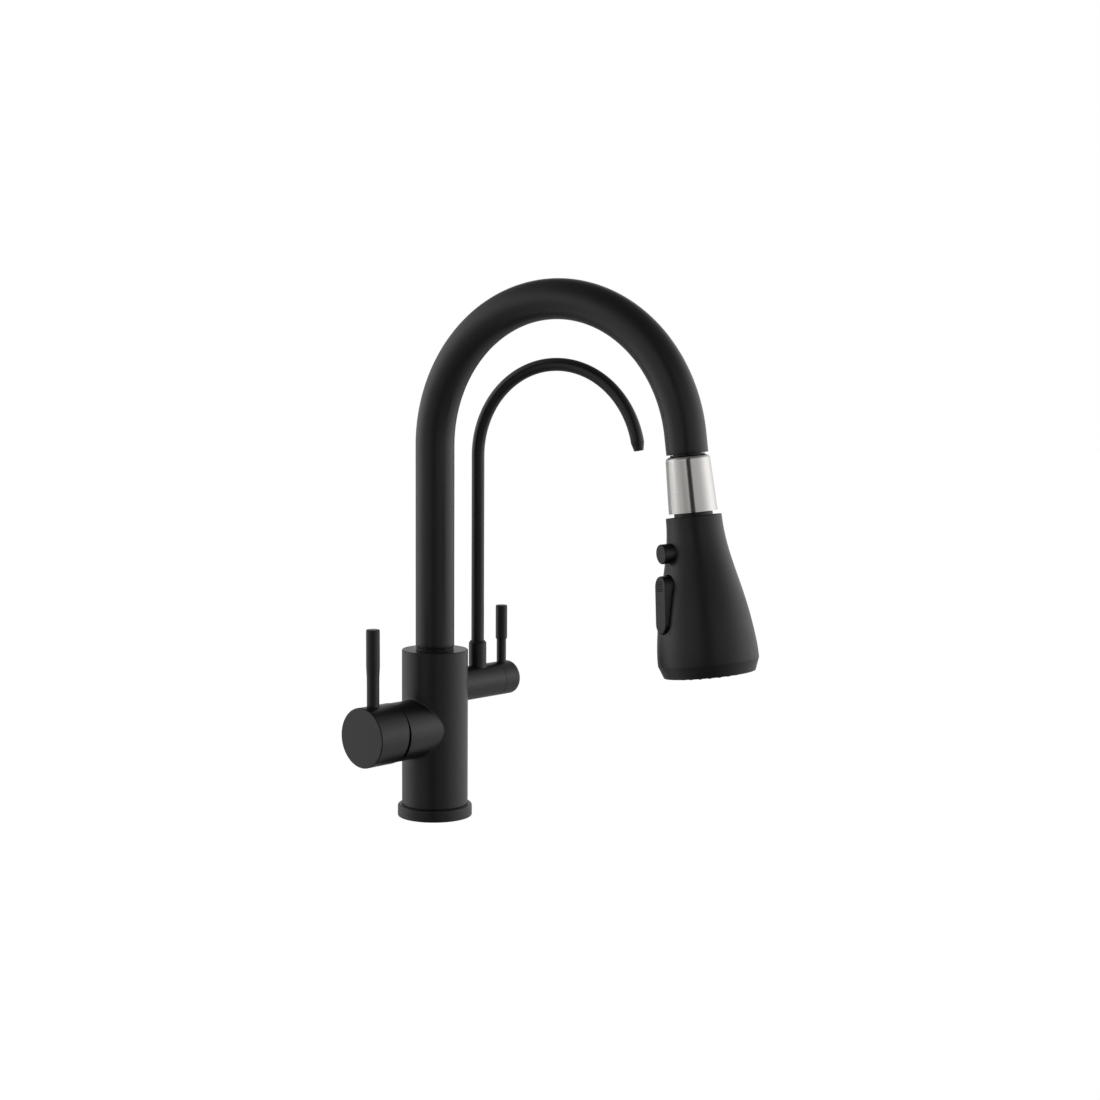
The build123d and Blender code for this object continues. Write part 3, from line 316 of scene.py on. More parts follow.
effects = {
    "coat": makeCoatSkin(), "smudge": makeSmudges(), "lines": makeToolLines(), "braid": makeBraid(),
}


def newFinish(name, color, roughness, metallic=0.0):
    finish = bpy.data.materials.new(name)
    finish.use_nodes = True
    tree = finish.node_tree
    shader = tree.nodes["Principled BSDF"]
    shader.inputs["Base Color"].default_value = (*color, 1)
    shader.inputs["Roughness"].default_value = roughness
    shader.inputs["Metallic"].default_value = metallic
    shader.inputs["IOR"].default_value = 1.5
    return finish, tree, shader, addNode(tree, "ShaderNodeTexCoord").outputs["Object"]


def addGroup(tree, effect, vector, values):
    node = tree.nodes.new("ShaderNodeGroup")
    node.node_tree = effects[effect]
    tree.links.new(vector, node.inputs["Vector"])
    for label, value in values.items():
        node.inputs[label].default_value = value
    return node.outputs


def onHeadAxis(tree, place):
    turn = headFrame.to_3x3().to_euler()
    values = {"Vector": place, "Location": tubeEnd, "Rotation": turn}
    return addNode(tree, "ShaderNodeMapping", values, vector_type="TEXTURE").outputs[0]


def mixColors(tree, factor, first, second):
    node = addNode(tree, "ShaderNodeMix", data_type="RGBA")
    tree.links.new(factor, node.inputs["Factor"])
    node.inputs["A"].default_value = (*first, 1)
    node.inputs["B"].default_value = (*second, 1)
    return node.outputs["Result"]


def addBump(tree, shader, height, strength, distance):
    values = {"Height": height, "Strength": strength, "Distance": distance}
    bump = addNode(tree, "ShaderNodeBump", values)
    tree.links.new(bump.outputs["Normal"], shader.inputs["Normal"])


# Sizes in the finishes are millimetres, colours are linear
coatLooks = {
    "blackCoat": {
        "dark": (0.0095, 0.0095, 0.0096), "light": (0.0115, 0.0115, 0.0116), "rough": (0.32, 0.38),
        "pebble": 0.45, "ripple": 3.0, "share": 0.35, "bump": 0.2, "depth": 0.02,
    },
    "blackPlastic": {
        "dark": (0.0028, 0.0028, 0.0030), "light": (0.0046, 0.0046, 0.0048), "rough": (0.37, 0.44),
        "pebble": 0.30, "ripple": 2.0, "share": 0.2, "bump": 0.18, "depth": 0.015,
    },
    "sprayPlate": {
        "dark": (0.012, 0.012, 0.0125), "light": (0.017, 0.017, 0.0175), "rough": (0.45, 0.55),
        "pebble": 0.25, "ripple": 2.0, "share": 0.2, "bump": 0.2, "depth": 0.015,
    },
    "siliconeTip": {
        "dark": (0.030, 0.030, 0.031), "light": (0.040, 0.040, 0.041), "rough": (0.6, 0.7),
        "pebble": 0.15, "ripple": 0.8, "share": 0.5, "bump": 0.2, "depth": 0.01,
    },
    "sealRubber": {
        "dark": (0.008, 0.008, 0.008), "light": (0.013, 0.013, 0.013), "rough": (0.55, 0.7),
        "pebble": 0.2, "ripple": 1.2, "share": 0.4, "bump": 0.3, "depth": 0.02,
    },
    "valvePlastic": {
        "dark": (0.55, 0.55, 0.53), "light": (0.62, 0.62, 0.60), "rough": (0.4, 0.5),
        "pebble": 0.3, "ripple": 3.0, "share": 0.4, "bump": 0.15, "depth": 0.015,
    },
}
metalLooks = {
    "brushedSteel": {
        "dark": (0.54, 0.525, 0.505), "light": (0.62, 0.605, 0.585), "rough": (0.10, 0.15),
        "length": 14.0, "width": 0.10, "bump": 0.12, "depth": 0.006, "onHead": True,
    },
    "plainSteel": {
        "dark": (0.50, 0.50, 0.50), "light": (0.62, 0.62, 0.62), "rough": (0.25, 0.35),
        "length": 3.0, "width": 0.3, "bump": 0.1, "depth": 0.006, "onHead": False,
    },
    "brass": {
        "dark": (0.52, 0.38, 0.17), "light": (0.68, 0.52, 0.26), "rough": (0.28, 0.4),
        "length": 6.0, "width": 0.25, "bump": 0.12, "depth": 0.008, "onHead": False,
    },
}
# The braid's colour runs from dark in the seams between strands to light on their crowns: painted shade
# in the crevices of the weave
braidLook = {
    "dark": (0.006, 0.006, 0.0065), "light": (0.03, 0.03, 0.031), "rough": (0.6, 0.38),
    "strands": 12, "layLength": 36.0, "bump": 0.5, "depth": 0.25,
}
smudgePatch = 30  # width of a cloudy patch


def dressFinish(tree, shader, look, tone, wear, height):
    tree.links.new(mixColors(tree, tone, look["dark"], look["light"]), shader.inputs["Base Color"])
    tree.links.new(mapTo(tree, wear, 0, 1, *look["rough"]), shader.inputs["Roughness"])
    addBump(tree, shader, height, look["bump"], look["depth"] * mm)


def makeCoat(name):
    look = coatLooks[name]
    finish, tree, shader, place = newFinish(name, look["dark"], look["rough"][0])
    skin = addGroup(tree, "coat", place, {
        "Pebble Size": look["pebble"] * mm,
        "Ripple Size": look["ripple"] * mm,
        "Ripple Share": look["share"],
    })
    smudge = addGroup(tree, "smudge", place, {"Patch Size": smudgePatch * mm})
    dressFinish(tree, shader, look, skin["Tone"], smudge["Mask"], skin["Height"])
    return finish


def makeMetal(name):
    look = metalLooks[name]
    finish, tree, shader, place = newFinish(name, look["dark"], look["rough"][0], metallic=1.0)
    if look["onHead"]:
        place = onHeadAxis(tree, place)
    lines = addGroup(tree, "lines", place, {
        "Line Length": look["length"] * mm,
        "Line Width": look["width"] * mm,
    })["Height"]
    dressFinish(tree, shader, look, lines, lines, lines)
    return finish


def makeHoseBraid():
    finish, tree, shader, place = newFinish("hoseBraid", braidLook["dark"], braidLook["rough"][0])
    strands = addGroup(tree, "braid", onHeadAxis(tree, place), {
        "Strands": braidLook["strands"],
        "Lay Length": braidLook["layLength"] * mm,
    })["Height"]
    # The strand height also sets the base colour, darker down between the strands: painted shade
    dressFinish(tree, shader, braidLook, strands, strands, strands)
    return finish


finishes = {name: makeCoat(name) for name in coatLooks}
finishes.update({name: makeMetal(name) for name in metalLooks})
finishes["hoseBraid"] = makeHoseBraid()
print("finishes made:", len(finishes))


# ---- shapes grown by geometry nodes

def newShape(name, inputs):
    tree = bpy.data.node_groups.new(name, "GeometryNodeTree")
    for label, kind in (*inputs, ("Finish", "Material")):
        tree.interface.new_socket(name=label, in_out="INPUT", socket_type="NodeSocket" + kind)
    tree.interface.new_socket(name="Geometry", in_out="OUTPUT", socket_type="NodeSocketGeometry")
    return tree, tree.nodes.new("NodeGroupInput").outputs


def endShape(tree, shape, finish):
    solid = addNode(tree, "GeometryNodeRealizeInstances", {"Geometry": shape}).outputs[0]
    smooth = addNode(tree, "GeometryNodeSetShadeSmooth", {"Geometry": solid}).outputs[0]
    values = {"Geometry": smooth, "Material": finish}
    painted = addNode(tree, "GeometryNodeSetMaterial", values).outputs[0]
    addNode(tree, "NodeGroupOutput", {"Geometry": painted})
    return tree


def tubeAlong(tree, curve, radius, sides, caps=False, scale=1.0):
    values = {"Radius": radius, "Resolution": sides}
    ring = addNode(tree, "GeometryNodeCurvePrimitiveCircle", values).outputs[0]
    values = {"Curve": curve, "Profile Curve": ring, "Scale": scale, "Fill Caps": caps}
    return addNode(tree, "GeometryNodeCurveToMesh", values).outputs[0]


def alongLine(tree, count):
    line = addNode(tree, "GeometryNodeCurvePrimitiveLine").outputs[0]
    points = addNode(tree, "GeometryNodeResampleCurve", {"Curve": line, "Count": count}).outputs[0]
    return points, addNode(tree, "GeometryNodeSplineParameter").outputs["Factor"]


def movePoints(tree, points, x, y, z):
    values = {"Geometry": points, "Position": makeVector(tree, x, y, z)}
    return addNode(tree, "GeometryNodeSetPosition", values).outputs[0]


def meshLine(tree, count, start, step):
    values = {"Count": count, "Start Location": start, "Offset": step}
    return addNode(tree, "GeometryNodeMeshLine", values).outputs[0]


def placeOn(tree, points, instance, **values):
    values = {"Points": points, "Instance": instance, **values}
    return addNode(tree, "GeometryNodeInstanceOnPoints", values).outputs[0]


def joinAll(tree, parts):
    joined = addNode(tree, "GeometryNodeJoinGeometry")
    for part in parts:
        tree.links.new(part, joined.inputs[0])
    return joined.outputs[0]


# Pipe that rises, bends over in the XZ plane and ends in a straight run
def makeBentTube():
    tree, given = newShape("bentTube", (
        ("Radius", "Float"), ("Start Height", "Float"), ("Bend Height", "Float"),
        ("Bend Radius", "Float"), ("Bend Angle", "Float"), ("End Length", "Float"),
        ("Rings", "Int"), ("Sides", "Int"),
    ))
    points, share = alongLine(tree, given["Rings"])
    rise = calc(tree, "SUBTRACT", given["Bend Height"], given["Start Height"])
    arc = calc(tree, "MULTIPLY", given["Bend Radius"], given["Bend Angle"])
    whole = calc(tree, "ADD", calc(tree, "ADD", rise, arc), given["End Length"])
    run = calc(tree, "MULTIPLY", share, whole)
    climbed = calc(tree, "MINIMUM", run, rise)
    past = calc(tree, "SUBTRACT", run, rise)
    bent = calc(tree, "MINIMUM", calc(tree, "MAXIMUM", past, 0.0), arc)
    beyond = calc(tree, "MAXIMUM", calc(tree, "SUBTRACT", past, arc), 0.0)
    angle = calc(tree, "DIVIDE", bent, given["Bend Radius"])
    sine, cosine = calc(tree, "SINE", angle), calc(tree, "COSINE", angle)
    across = calc(tree, "MULTIPLY", given["Bend Radius"], calc(tree, "SUBTRACT", 1.0, cosine))
    across = calc(tree, "MULTIPLY_ADD", beyond, sine, across)
    level = calc(tree, "ADD", given["Start Height"], climbed)
    level = calc(tree, "MULTIPLY_ADD", given["Bend Radius"], sine, level)
    level = calc(tree, "MULTIPLY_ADD", beyond, cosine, level)
    path = movePoints(tree, points, across, 0.0, level)
    return endShape(tree, tubeAlong(tree, path, given["Radius"], given["Sides"]), given["Finish"])


# Wire wound round the Z axis: a return spring, or the ridge of a thread
def makeCoil():
    tree, given = newShape("coil", (
        ("Coil Radius", "Float"), ("Wire Radius", "Float"), ("Bottom", "Float"), ("Top", "Float"),
        ("Turns", "Float"), ("Points", "Int"), ("Sides", "Int"),
    ))
    points, share = alongLine(tree, given["Points"])
    angle = calc(tree, "MULTIPLY", share, calc(tree, "MULTIPLY", given["Turns"], 2 * math.pi))
    x = calc(tree, "MULTIPLY", given["Coil Radius"], calc(tree, "COSINE", angle))
    y = calc(tree, "MULTIPLY", given["Coil Radius"], calc(tree, "SINE", angle))
    climb = calc(tree, "SUBTRACT", given["Top"], given["Bottom"])
    z = calc(tree, "MULTIPLY_ADD", share, climb, given["Bottom"])
    path = movePoints(tree, points, x, y, z)
    wire = tubeAlong(tree, path, given["Wire Radius"], given["Sides"], caps=True)
    return endShape(tree, wire, given["Finish"])


# Nozzles on up to three rings round the Z axis, each ring wider and fuller than the one inside it
def makeNozzleRings():
    mostRings = 3
    tree, given = newShape("nozzleRings", (
        ("Nozzle", "Object"), ("Rings", "Int"), ("First Radius", "Float"), ("Ring Step", "Float"),
        ("First Count", "Int"), ("Count Step", "Int"), ("Height", "Float"),
    ))
    nozzle = addNode(tree, "GeometryNodeObjectInfo", {"Object": given["Nozzle"]}).outputs["Geometry"]
    lift = makeVector(tree, z=given["Height"])
    placed = []
    for ring in range(mostRings):
        radius = calc(tree, "MULTIPLY_ADD", given["Ring Step"], float(ring), given["First Radius"])
        count = calc(tree, "MULTIPLY_ADD", given["Count Step"], float(ring), given["First Count"])
        values = {"Radius": radius, "Vertices": count}
        circle = addNode(tree, "GeometryNodeMeshCircle", values).outputs[0]
        values = {"Geometry": circle, "Offset": lift}
        lifted = addNode(tree, "GeometryNodeSetPosition", values).outputs[0]
        kind = {"data_type": "INT", "operation": "GREATER_THAN"}
        used = addNode(tree, "FunctionNodeCompare", {"A": given["Rings"], "B": ring}, **kind).outputs[0]
        placed.append(placeOn(tree, lifted, nozzle, Selection=used))
    return endShape(tree, joinAll(tree, placed), given["Finish"])


# Row of soft-ended grip ribs lying along X and spaced along Y
def makeRibRow():
    endPower, endRoom = 8.0, 1.02  # the ends round off late, and stop just short of a point
    tree, given = newShape("ribRow", (
        ("Count", "Int"), ("Start", "Float"), ("Pitch", "Float"), ("Width", "Float"),
        ("Thickness", "Float"), ("Height", "Float"), ("Points", "Int"), ("Sides", "Int"),
    ))
    points, share = alongLine(tree, given["Points"])
    place = calc(tree, "SUBTRACT", calc(tree, "MULTIPLY", share, 2.0), 1.0)
    along = calc(tree, "MULTIPLY", place, calc(tree, "DIVIDE", given["Width"], 2.0))
    bar = movePoints(tree, points, along, 0.0, 0.0)
    fall = calc(tree, "POWER", calc(tree, "ABSOLUTE", place), endPower)
    swell = calc(tree, "SQRT", calc(tree, "SUBTRACT", endRoom, fall))
    bar = addNode(tree, "GeometryNodeSetCurveRadius", {"Curve": bar, "Radius": swell}).outputs[0]
    thickness = calc(tree, "DIVIDE", given["Thickness"], 2.0)
    scale = addNode(tree, "GeometryNodeInputRadius").outputs[0]
    solid = tubeAlong(tree, bar, thickness, given["Sides"], caps=True, scale=scale)
    flat = calc(tree, "DIVIDE", calc(tree, "MULTIPLY", given["Height"], 2.0), given["Thickness"])
    values = {"Geometry": solid, "Scale": makeVector(tree, 1.0, 1.0, flat)}
    rib = addNode(tree, "GeometryNodeTransform", values).outputs[0]
    start, step = makeVector(tree, y=given["Start"]), makeVector(tree, y=given["Pitch"])
    row = meshLine(tree, given["Count"], start, step)
    return endShape(tree, placeOn(tree, row, rib), given["Finish"])


# Round screen of two layers of wires that cross, each wire as long as the circle is wide there
def makeScreen():
    layerStep = 1.6  # from one layer down to the other, in wire radii, so that the wires touch
    tree, given = newShape("wireScreen", (
        ("Radius", "Float"), ("Wires", "Int"), ("Wire Radius", "Float"), ("Height", "Float"),
        ("Sides", "Int"),
    ))
    width = calc(tree, "MULTIPLY", given["Radius"], 2.0)
    pitch = calc(tree, "DIVIDE", width, calc(tree, "ADD", given["Wires"], 1.0))
    start = makeVector(tree, y=calc(tree, "SUBTRACT", pitch, given["Radius"]), z=given["Height"])
    row = meshLine(tree, given["Wires"], start, makeVector(tree, y=pitch))
    place = addNode(tree, "GeometryNodeInputPosition").outputs[0]
    across = addNode(tree, "ShaderNodeSeparateXYZ", {0: place}).outputs["Y"]
    square = calc(tree, "POWER", given["Radius"], 2.0)
    room = calc(tree, "SUBTRACT", square, calc(tree, "MULTIPLY", across, across))
    reach = calc(tree, "SQRT", calc(tree, "MAXIMUM", room, 0.0))
    values = {"Start": (-1, 0, 0), "End": (1, 0, 0)}
    line = addNode(tree, "GeometryNodeCurvePrimitiveLine", values).outputs[0]
    placed = placeOn(tree, row, line, Scale=makeVector(tree, reach, 1.0, 1.0))
    lines = addNode(tree, "GeometryNodeRealizeInstances", {"Geometry": placed}).outputs[0]
    wires = tubeAlong(tree, lines, given["Wire Radius"], given["Sides"], caps=True)
    drop = makeVector(tree, z=calc(tree, "MULTIPLY", given["Wire Radius"], -layerStep))
    values = {"Geometry": wires, "Translation": drop, "Rotation": (0, 0, math.pi / 2)}
    crossed = addNode(tree, "GeometryNodeTransform", values).outputs[0]
    return endShape(tree, joinAll(tree, (wires, crossed)), given["Finish"])


shapes = {
    "tube": makeBentTube(), "coil": makeCoil(), "nozzles": makeNozzleRings(), "ribs": makeRibRow(),
    "screen": makeScreen(),
}


def addObject(name, mesh):
    piece = bpy.data.objects.new(name, mesh)
    bpy.context.scene.collection.objects.link(piece)
    return piece


def growPiece(name, shape, values, place):
    tree = shapes[shape]
    host = addObject(name + "Host", bpy.data.meshes.new(name + "Host"))
    modifier = host.modifiers.new(name, "NODES")
    modifier.node_group = tree
    for item in tree.interface.items_tree:
        if item.item_type == "SOCKET" and item.in_out == "INPUT":
            modifier[item.identifier] = values[item.name]
    graph = bpy.context.evaluated_depsgraph_get()
    mesh = bpy.data.meshes.new_from_object(host.evaluated_get(graph), depsgraph=graph)
    host.modifiers.remove(modifier)
    bpy.data.objects.remove(host)
    mesh.name = name
    mesh.transform(place)
    return addObject(name, mesh)


def endMesh(name, shape, finish):
    for face in shape.faces:
        face.smooth = True
    mesh = bpy.data.meshes.new(name)
    shape.to_mesh(mesh)
    shape.free()
    mesh.materials.append(finish)
    return mesh


# Shape turned about the Z axis from pairs of radius and height in millimetres. The profile starts and
# ends on the axis, or closed joins its last pair to its first.
def turnedMesh(name, profile, steps, finish, closed=False):
    shape = bmesh.new()
    turns = [2 * math.pi * step / steps for step in range(steps)]
    rows = []
    for radius, height in profile:
        r, z = radius * mm, height * mm
        if radius == 0:
            rows.append([shape.verts.new((0, 0, z))])
        else:
            rows.append([shape.verts.new((r * math.cos(turn), r * math.sin(turn), z)) for turn in turns])
    pairs = list(zip(rows, rows[1:])) + ([(rows[-1], rows[0])] if closed else [])
    for low, high in pairs:
        for step in range(steps):
            after = (step + 1) % steps
            corners = [low[step % len(low)], low[after % len(low)],
                       high[after % len(high)], high[step % len(high)]]
            shape.faces.new(list(dict.fromkeys(corners)))
    bmesh.ops.recalc_face_normals(shape, faces=shape.faces)
    return endMesh(name, shape, finish)


roundedFrom = 60  # degrees, edges that turn more than this are rounded


def roundEdges(piece, name, width, segments):
    rim = piece.modifiers.new(name, "BEVEL")
    rim.width = width * mm
    rim.segments = segments
    rim.limit_method = "ANGLE"
    rim.angle_limit = math.radians(roundedFrom)
    return rim


def giveWall(piece, thickness):
    wall = piece.modifiers.new("wall", "SOLIDIFY")
    wall.thickness = thickness * mm
    wall.offset = -1


# ---- main spout, slim spout and the hose inside the main spout

spoutTube = {
    "radius": 14.6, "wall": 1.4, "rim": 0.25, "start": 129.6, "bendHeight": 281.5, "bendRadius": 108.0,
    "bendAngle": 172.5, "endLength": 13.35, "heading": -81.0, "foot": (0, 0), "rings": 150, "sides": 96,
}
slimTube = {
    "radius": 4.9, "wall": 1.0, "rim": 0.15, "start": 110.6, "bendHeight": 272.4, "bendRadius": 70.0,
    "bendAngle": 168.8, "endLength": 0.0, "heading": -78.4, "foot": (46.0, 0), "rings": 130, "sides": 48,
}
hose = {
    "radius": 6.2, "wall": 2.2, "rim": 0.3, "start": 2.5, "dockEnd": -8.5, "rings": 140,
    "freeRings": 200, "freeSides": 32,
}
rimSteps = 3


def tubeValues(size, finish):
    return {
        "Radius": size["radius"] * mm,
        "Start Height": size["start"] * mm,
        "Bend Height": size["bendHeight"] * mm,
        "Bend Radius": size["bendRadius"] * mm,
        "Bend Angle": math.radians(size["bendAngle"]),
        "End Length": size["endLength"] * mm,
        "Rings": size["rings"],
        "Sides": size["sides"],
        "Finish": finishes[finish],
    }


def growTube(name, size, finish):
    place = Matrix.Translation((size["foot"][0] * mm, size["foot"][1] * mm, 0))
    place = place @ Matrix.Rotation(math.radians(size["heading"]), 4, "Z")
    piece = growPiece(name, "tube", tubeValues(size, finish), place)
    giveWall(piece, size["wall"])
    roundEdges(piece, "rim", size["rim"], rimSteps)
    return piece


spoutPipe = growTube("spoutPipe", spoutTube, "blackCoat")
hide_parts("spout_tube")
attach(spoutPipe, "spout")

slimPipe = growTube("slimPipe", slimTube, "blackCoat")
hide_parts("filter_tube")
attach(slimPipe, "filter_spout")

# The hose is in two lengths: one lies in the tube, and the other pays out when the head is pulled
liningSize = {**spoutTube, **hose, "endLength": 0.0}
hoseInTube = growTube("hoseInTube", liningSize, "hoseBraid")
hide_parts("pullout_hose")
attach(hoseInTube, "spout")

runLength = spoutTube["endLength"] + hose["dockEnd"]
runStart = tubeEnd - pullAxis * spoutTube["endLength"] * mm
runPlace = Matrix.Translation(runStart) @ headFrame.to_3x3().to_4x4()
straight = {"start": 0.0, "bendHeight": runLength, "bendAngle": 0.0}
runSize = {**liningSize, **straight, "rings": hose["freeRings"], "sides": hose["freeSides"]}
hoseRun = growPiece("hoseRun", "tube", tubeValues(runSize, "hoseBraid"), runPlace)
giveWall(hoseRun, hose["wall"])
# The wall goes into the mesh itself
depsgraph = bpy.context.evaluated_depsgraph_get()
hoseRun.data = bpy.data.meshes.new_from_object(hoseRun.evaluated_get(depsgraph), depsgraph=depsgraph)
hoseRun.modifiers.clear()
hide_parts("pullout_hose")
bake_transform(hoseRun)
print("tubes and hose made")


# ---- spray face

sprayFace = {
    "front": 152.2, "back": 148.6, "radius": 29.6, "bore": 10.05, "boreEdge": 0.3, "rimEdge": 0.5,
    "rimStep": 0.15, "sharpFrom": 40, "sides": 96, "rings": 3, "firstRing": 14.2, "ringStep": 5.5,
    "firstCount": 12, "countStep": 6, "grooveDepth": 0.35, "grooveTop": 0.5, "grooveFloor": 0.3,
    "nozzleSides": 14,
}
# Radius and height over the face of one nozzle, from its foot up to its lip and down into its bore
nozzleProfile = (
    (0, -0.15), (2.0, -0.15), (1.85, 0.05), (1.5, 0.22), (1.28, 0.45), (1.14, 1.1), (1.0, 1.72),
    (0.84, 1.86), (0.55, 1.86), (0.42, 1.72), (0.38, 1.1), (0, 1.1),
)


def makePlateProfile():
    front, back = sprayFace["front"], sprayFace["back"]
    bore, radius = sprayFace["bore"], sprayFace["radius"]
    top, floor = sprayFace["grooveTop"], sprayFace["grooveFloor"]
    low = front - sprayFace["grooveDepth"]
    boreEdge, rimEdge, rimStep = sprayFace["boreEdge"], sprayFace["rimEdge"], sprayFace["rimStep"]
    profile = [(bore, back), (bore, front - boreEdge), (bore + boreEdge, front)]
    for ring in range(sprayFace["rings"]):
        middle = sprayFace["firstRing"] + (ring + 0.5) * sprayFace["ringStep"]
        profile += [(middle - top, front), (middle - floor, low)]
        profile += [(middle + floor, low), (middle + top, front)]
    profile += [(radius - rimEdge, front), (radius - rimStep, front - rimStep)]
    profile += [(radius, front - rimEdge), (radius, back)]
    return profile


finish = finishes["sprayPlate"]
plateMesh = turnedMesh("sprayPlate", makePlateProfile(), sprayFace["sides"], finish, closed=True)
plateMesh.transform(headFrame)
sprayPlate = addObject("sprayPlate", plateMesh)
sprayPlate.data.set_sharp_from_angle(angle=math.radians(sprayFace["sharpFrom"]))
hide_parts("spray_face")
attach(sprayPlate, "spray_head")

nozzleMesh = turnedMesh("nozzleModel", nozzleProfile, sprayFace["nozzleSides"], finishes["siliconeTip"])
nozzleModel = addObject("nozzleModel", nozzleMesh)
sprayNozzles = growPiece("sprayNozzles", "nozzles", {
    "Nozzle": nozzleModel,
    "Rings": sprayFace["rings"],
    "First Radius": sprayFace["firstRing"] * mm,
    "Ring Step": sprayFace["ringStep"] * mm,
    "First Count": sprayFace["firstCount"],
    "Count Step": sprayFace["countStep"],
    "Height": sprayFace["front"] * mm,
    "Finish": finishes["siliconeTip"],
}, headFrame)
bpy.data.objects.remove(nozzleModel)
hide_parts("spray_face")
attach(sprayNozzles, "spray_head")

screen = {"radius": 7.95, "wires": 21, "wireRadius": 0.11, "height": 152.05, "sides": 6}
aeratorScreen = growPiece("aeratorScreen", "screen", {
    "Radius": screen["radius"] * mm,
    "Wires": screen["wires"],
    "Wire Radius": screen["wireRadius"] * mm,
    "Height": screen["height"] * mm,
    "Sides": screen["sides"],
    "Finish": finishes["plainSteel"],
}, headFrame)
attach(aeratorScreen, "spray_head")
print("spray face made")


# ---- rocker, its ribs and the button spring

rocker = {
    "top": 81.8, "length": 39.4, "width": 14.6, "tailWidth": 14.2, "back": 21.5, "faceTop": 31.4,
    "faceBottom": 35.1, "edge": 0.8, "edgeSteps": 4, "gap": 0.5, "arcSteps": 40,
    "ribCount": 5, "ribStart": 3.6, "ribPitch": 1.63, "ribShift": 0.8, "ribWidth": 8.8,
    "ribThickness": 1.0, "ribHeight": 0.45, "ribPoints": 33, "ribSides": 16,
}
openingCorner = {
    "side": 7.72, "end": 121.8, "rows": 28, "columns": 8, "proud": 0.02, "depth": 2.2, "rayStart": 60,
}
faceRise = (rocker["faceBottom"] - rocker["faceTop"]) / rocker["length"]
tailHalf = rocker["tailWidth"] / 2
tailCentre = rocker["top"] + rocker["length"] - tailHalf


def makeRocker():
    steps = rocker["arcSteps"]
    half = rocker["width"] / 2
    headCentre = rocker["top"] + half
    turns = [math.pi * step / steps for step in range(steps + 1)]
    outline = [(tailHalf * math.cos(turn), tailCentre + tailHalf * math.sin(turn)) for turn in turns]
    outline += [(-half * math.cos(turn), headCentre - half * math.sin(turn)) for turn in turns]
    shape = bmesh.new()
    backRow, faceRow = [], []
    for y, z in outline:
        backRow.append(shape.verts.new((rocker["back"] * mm, y * mm, z * mm)))
    for y, z in outline:
        out = rocker["faceTop"] + faceRise * (z - rocker["top"])
        faceRow.append(shape.verts.new((out * mm, y * mm, z * mm)))
    count = len(outline)
    for step in range(count):
        after = (step + 1) % count
        shape.faces.new((backRow[step], backRow[after], faceRow[after], faceRow[step]))
    shape.faces.new(backRow)
    shape.faces.new(faceRow)
    bmesh.ops.recalc_face_normals(shape, faces=shape.faces)
    mesh = endMesh("rocker", shape, finishes["blackPlastic"])
    mesh.transform(headFrame)
    return addObject("rocker", mesh)


# Skin that rounds off the lower corners of the opening in the head, flush with the head's own surface.
# The head is round, so its whole back gives the radius that the skin takes at each height.
def makeOpeningCorners():
    skin = BVHTree.FromObject(nodes["head_shell"], bpy.context.evaluated_depsgraph_get())
    toHead = headFrame.inverted()
    shape = bmesh.new()
    arc = tailHalf + rocker["gap"]
    rowCount, columnCount = openingCorner["rows"], openingCorner["columns"]
    for side in (1, -1):
        rows = []
        for row in range(rowCount + 1):
            z = tailCentre + (openingCorner["end"] - tailCentre) * row / rowCount
            behind = headFrame @ Vector((-openingCorner["rayStart"] * mm, 0, z * mm))
            hit = skin.ray_cast(behind, buttonOut)[0]
            radius = -(toHead @ hit).x / mm + openingCorner["proud"]
            inner = math.sqrt(max(arc ** 2 - (z - tailCentre) ** 2, 0))
            line = []
            for column in range(columnCount + 1):
                y = inner + (openingCorner["side"] - inner) * column / columnCount
                x = math.sqrt(radius ** 2 - y ** 2)
                line.append(shape.verts.new((x * mm, side * y * mm, z * mm)))
            rows.append(line)
        for low, high in zip(rows, rows[1:]):
            for column in range(columnCount):
                corners = (low[column], low[column + 1], high[column + 1], high[column])
                shape.faces.new(corners if side == 1 else corners[::-1])
    mesh = endMesh("openingCorners", shape, finishes["blackPlastic"])
    mesh.transform(headFrame)
    piece = addObject("openingCorners", mesh)
    giveWall(piece, openingCorner["depth"])
    return piece


rockerPiece = makeRocker()
roundEdges(rockerPiece, "edge", rocker["edge"], rocker["edgeSteps"]).harden_normals = True
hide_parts("spray_toggle")
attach(rockerPiece, "toggle")

openingCorners = makeOpeningCorners()
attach(openingCorners, "spray_head")

faceAlong = (pullAxis + buttonOut * faceRise).normalized()
faceNormal = buttonSide.cross(faceAlong)
faceOrigin = tubeEnd + (pullAxis * rocker["top"] + buttonOut * rocker["faceTop"]) * mm
faceFrame = frameAt(faceOrigin, buttonSide, faceAlong, faceNormal)
# The ribs lie a little off the middle, towards the side that is turned away in the photograph
rockerRibs = growPiece("rockerRibs", "ribs", {
    "Count": rocker["ribCount"],
    "Start": rocker["ribStart"] * mm,
    "Pitch": rocker["ribPitch"] * mm,
    "Width": rocker["ribWidth"] * mm,
    "Thickness": rocker["ribThickness"] * mm,
    "Height": rocker["ribHeight"] * mm,
    "Points": rocker["ribPoints"],
    "Sides": rocker["ribSides"],
    "Finish": finishes["sealRubber"],
}, faceFrame @ Matrix.Translation((rocker["ribShift"] * mm, 0, 0)))
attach(rockerRibs, "toggle")

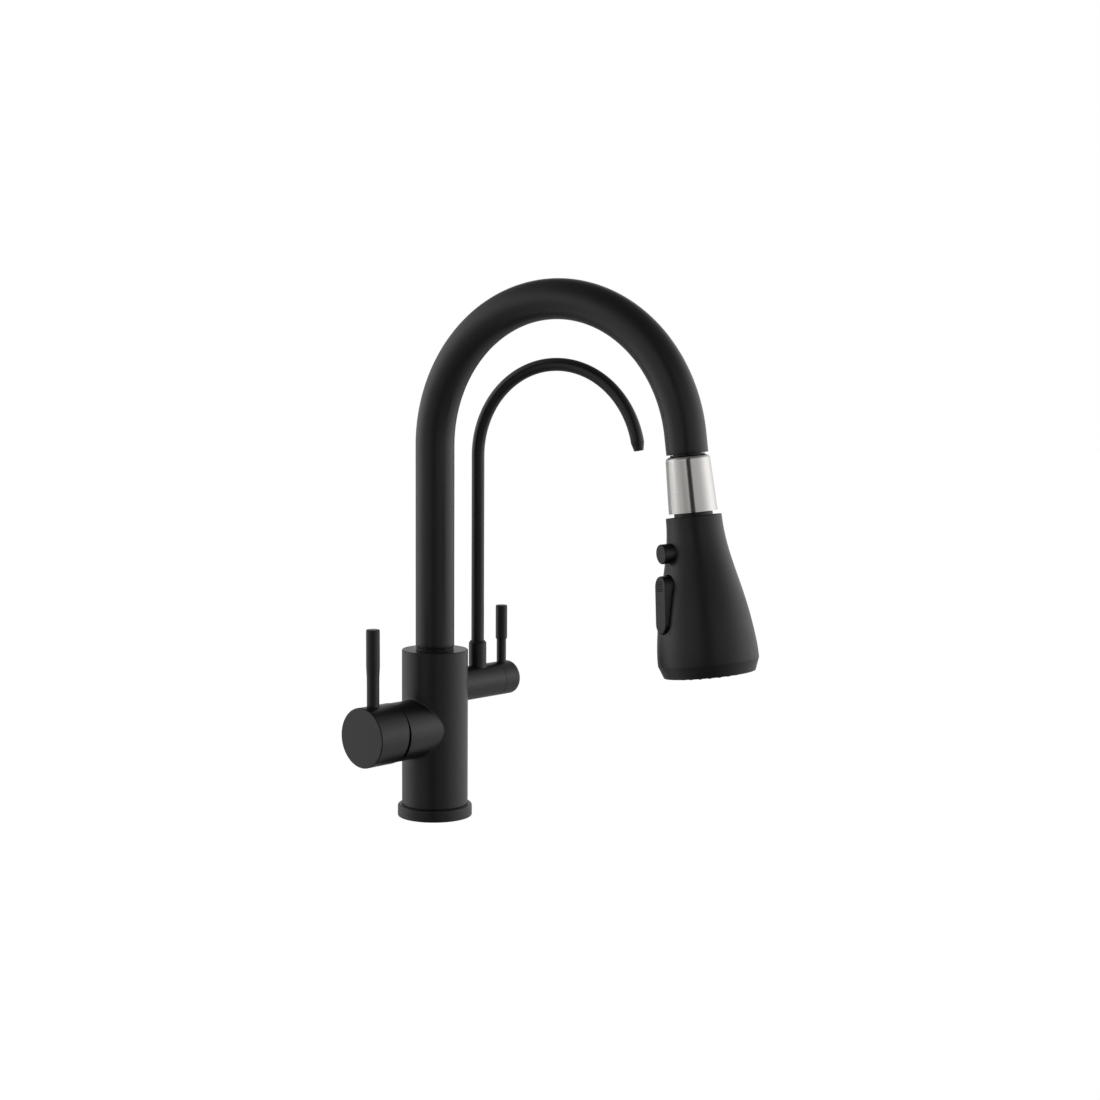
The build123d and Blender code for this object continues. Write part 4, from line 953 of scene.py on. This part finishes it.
spring = {
    "place": 67.0, "radius": 4.3, "wire": 0.4, "bottom": 12.45, "top": 17.75, "turns": 4.5,
    "points": 160, "sides": 10,
}
springPlace = tubeEnd + pullAxis * spring["place"] * mm
springFrame = frameAt(springPlace, pullAxis, -buttonSide, buttonOut)
returnSpring = growPiece("returnSpring", "coil", {
    "Coil Radius": spring["radius"] * mm,
    "Wire Radius": spring["wire"] * mm,
    "Bottom": spring["bottom"] * mm,
    "Top": spring["top"] * mm,
    "Turns": spring["turns"],
    "Points": spring["points"],
    "Sides": spring["sides"],
    "Finish": finishes["plainSteel"],
}, springFrame)
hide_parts("button_spring")
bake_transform(returnSpring)
print("rocker and button spring made")


# ---- threads in the ports under the body

portThread = {
    "count": 4, "firstBearing": 45, "circle": 14.0, "radius": 4.5, "bottom": 3.2, "top": 15.8,
    "pitch": 1.0, "ridge": 0.32, "points": 420, "sides": 6,
}
for number in range(portThread["count"]):
    bearing = math.radians(portThread["firstBearing"] + 360 / portThread["count"] * number)
    place = Matrix.Translation((portThread["circle"] * mm * math.cos(bearing),
                                portThread["circle"] * mm * math.sin(bearing), 0))
    thread = growPiece(f"portThread{number + 1}", "coil", {
        "Coil Radius": portThread["radius"] * mm,
        "Wire Radius": portThread["ridge"] * mm,
        "Bottom": portThread["bottom"] * mm,
        "Top": portThread["top"] * mm,
        "Turns": (portThread["top"] - portThread["bottom"]) / portThread["pitch"],
        "Points": portThread["points"],
        "Sides": portThread["sides"],
        "Finish": finishes["brass"],
    }, place)
    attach(thread, "tap_body")
print("port threads made")


# ---- finishes of the frame's own parts

nodeFinish = {
    "blackCoat": ("tap_body", "base_ring", "filter_barrel", "valve_knob", "lever_cap", "mixer_lever",
                  "filter_lever", "filter_collar", "filter_nozzle"),
    "blackPlastic": ("head_shell", "spray_button", "dock_spigot", "swivel_neck", "cap_plug",
                     "swivel_ring", "dock_insert", "spout_foot"),
    "sprayPlate": ("aerator",),
    "brushedSteel": ("steel_sleeve",),
    "plainSteel": ("spout_screw", "cap_screw", "knob_screw", "pivot_pin", "toggle_pin",
                   "cartridge_stem", "hose_ferrule"),
    "brass": ("inlet_block", "cartridge_nut", "filter_foot", "valve_headwork", "valve_spindle"),
    "valvePlastic": ("cartridge", "cartridge_turret", "diverter_core"),
    "sealRubber": ("base_gasket", "spout_seal_1", "spout_seal_2", "filter_seal", "neck_seal"),
}
painted = set()
for finishName, nodeNames in nodeFinish.items():
    for nodeName in nodeNames:
        mesh = nodes[nodeName].data
        mesh.materials.clear()
        mesh.materials.append(finishes[finishName])
        painted.add(nodeName)
print("nodes painted:", len(painted), "left:", sorted(set(nodes) - painted))
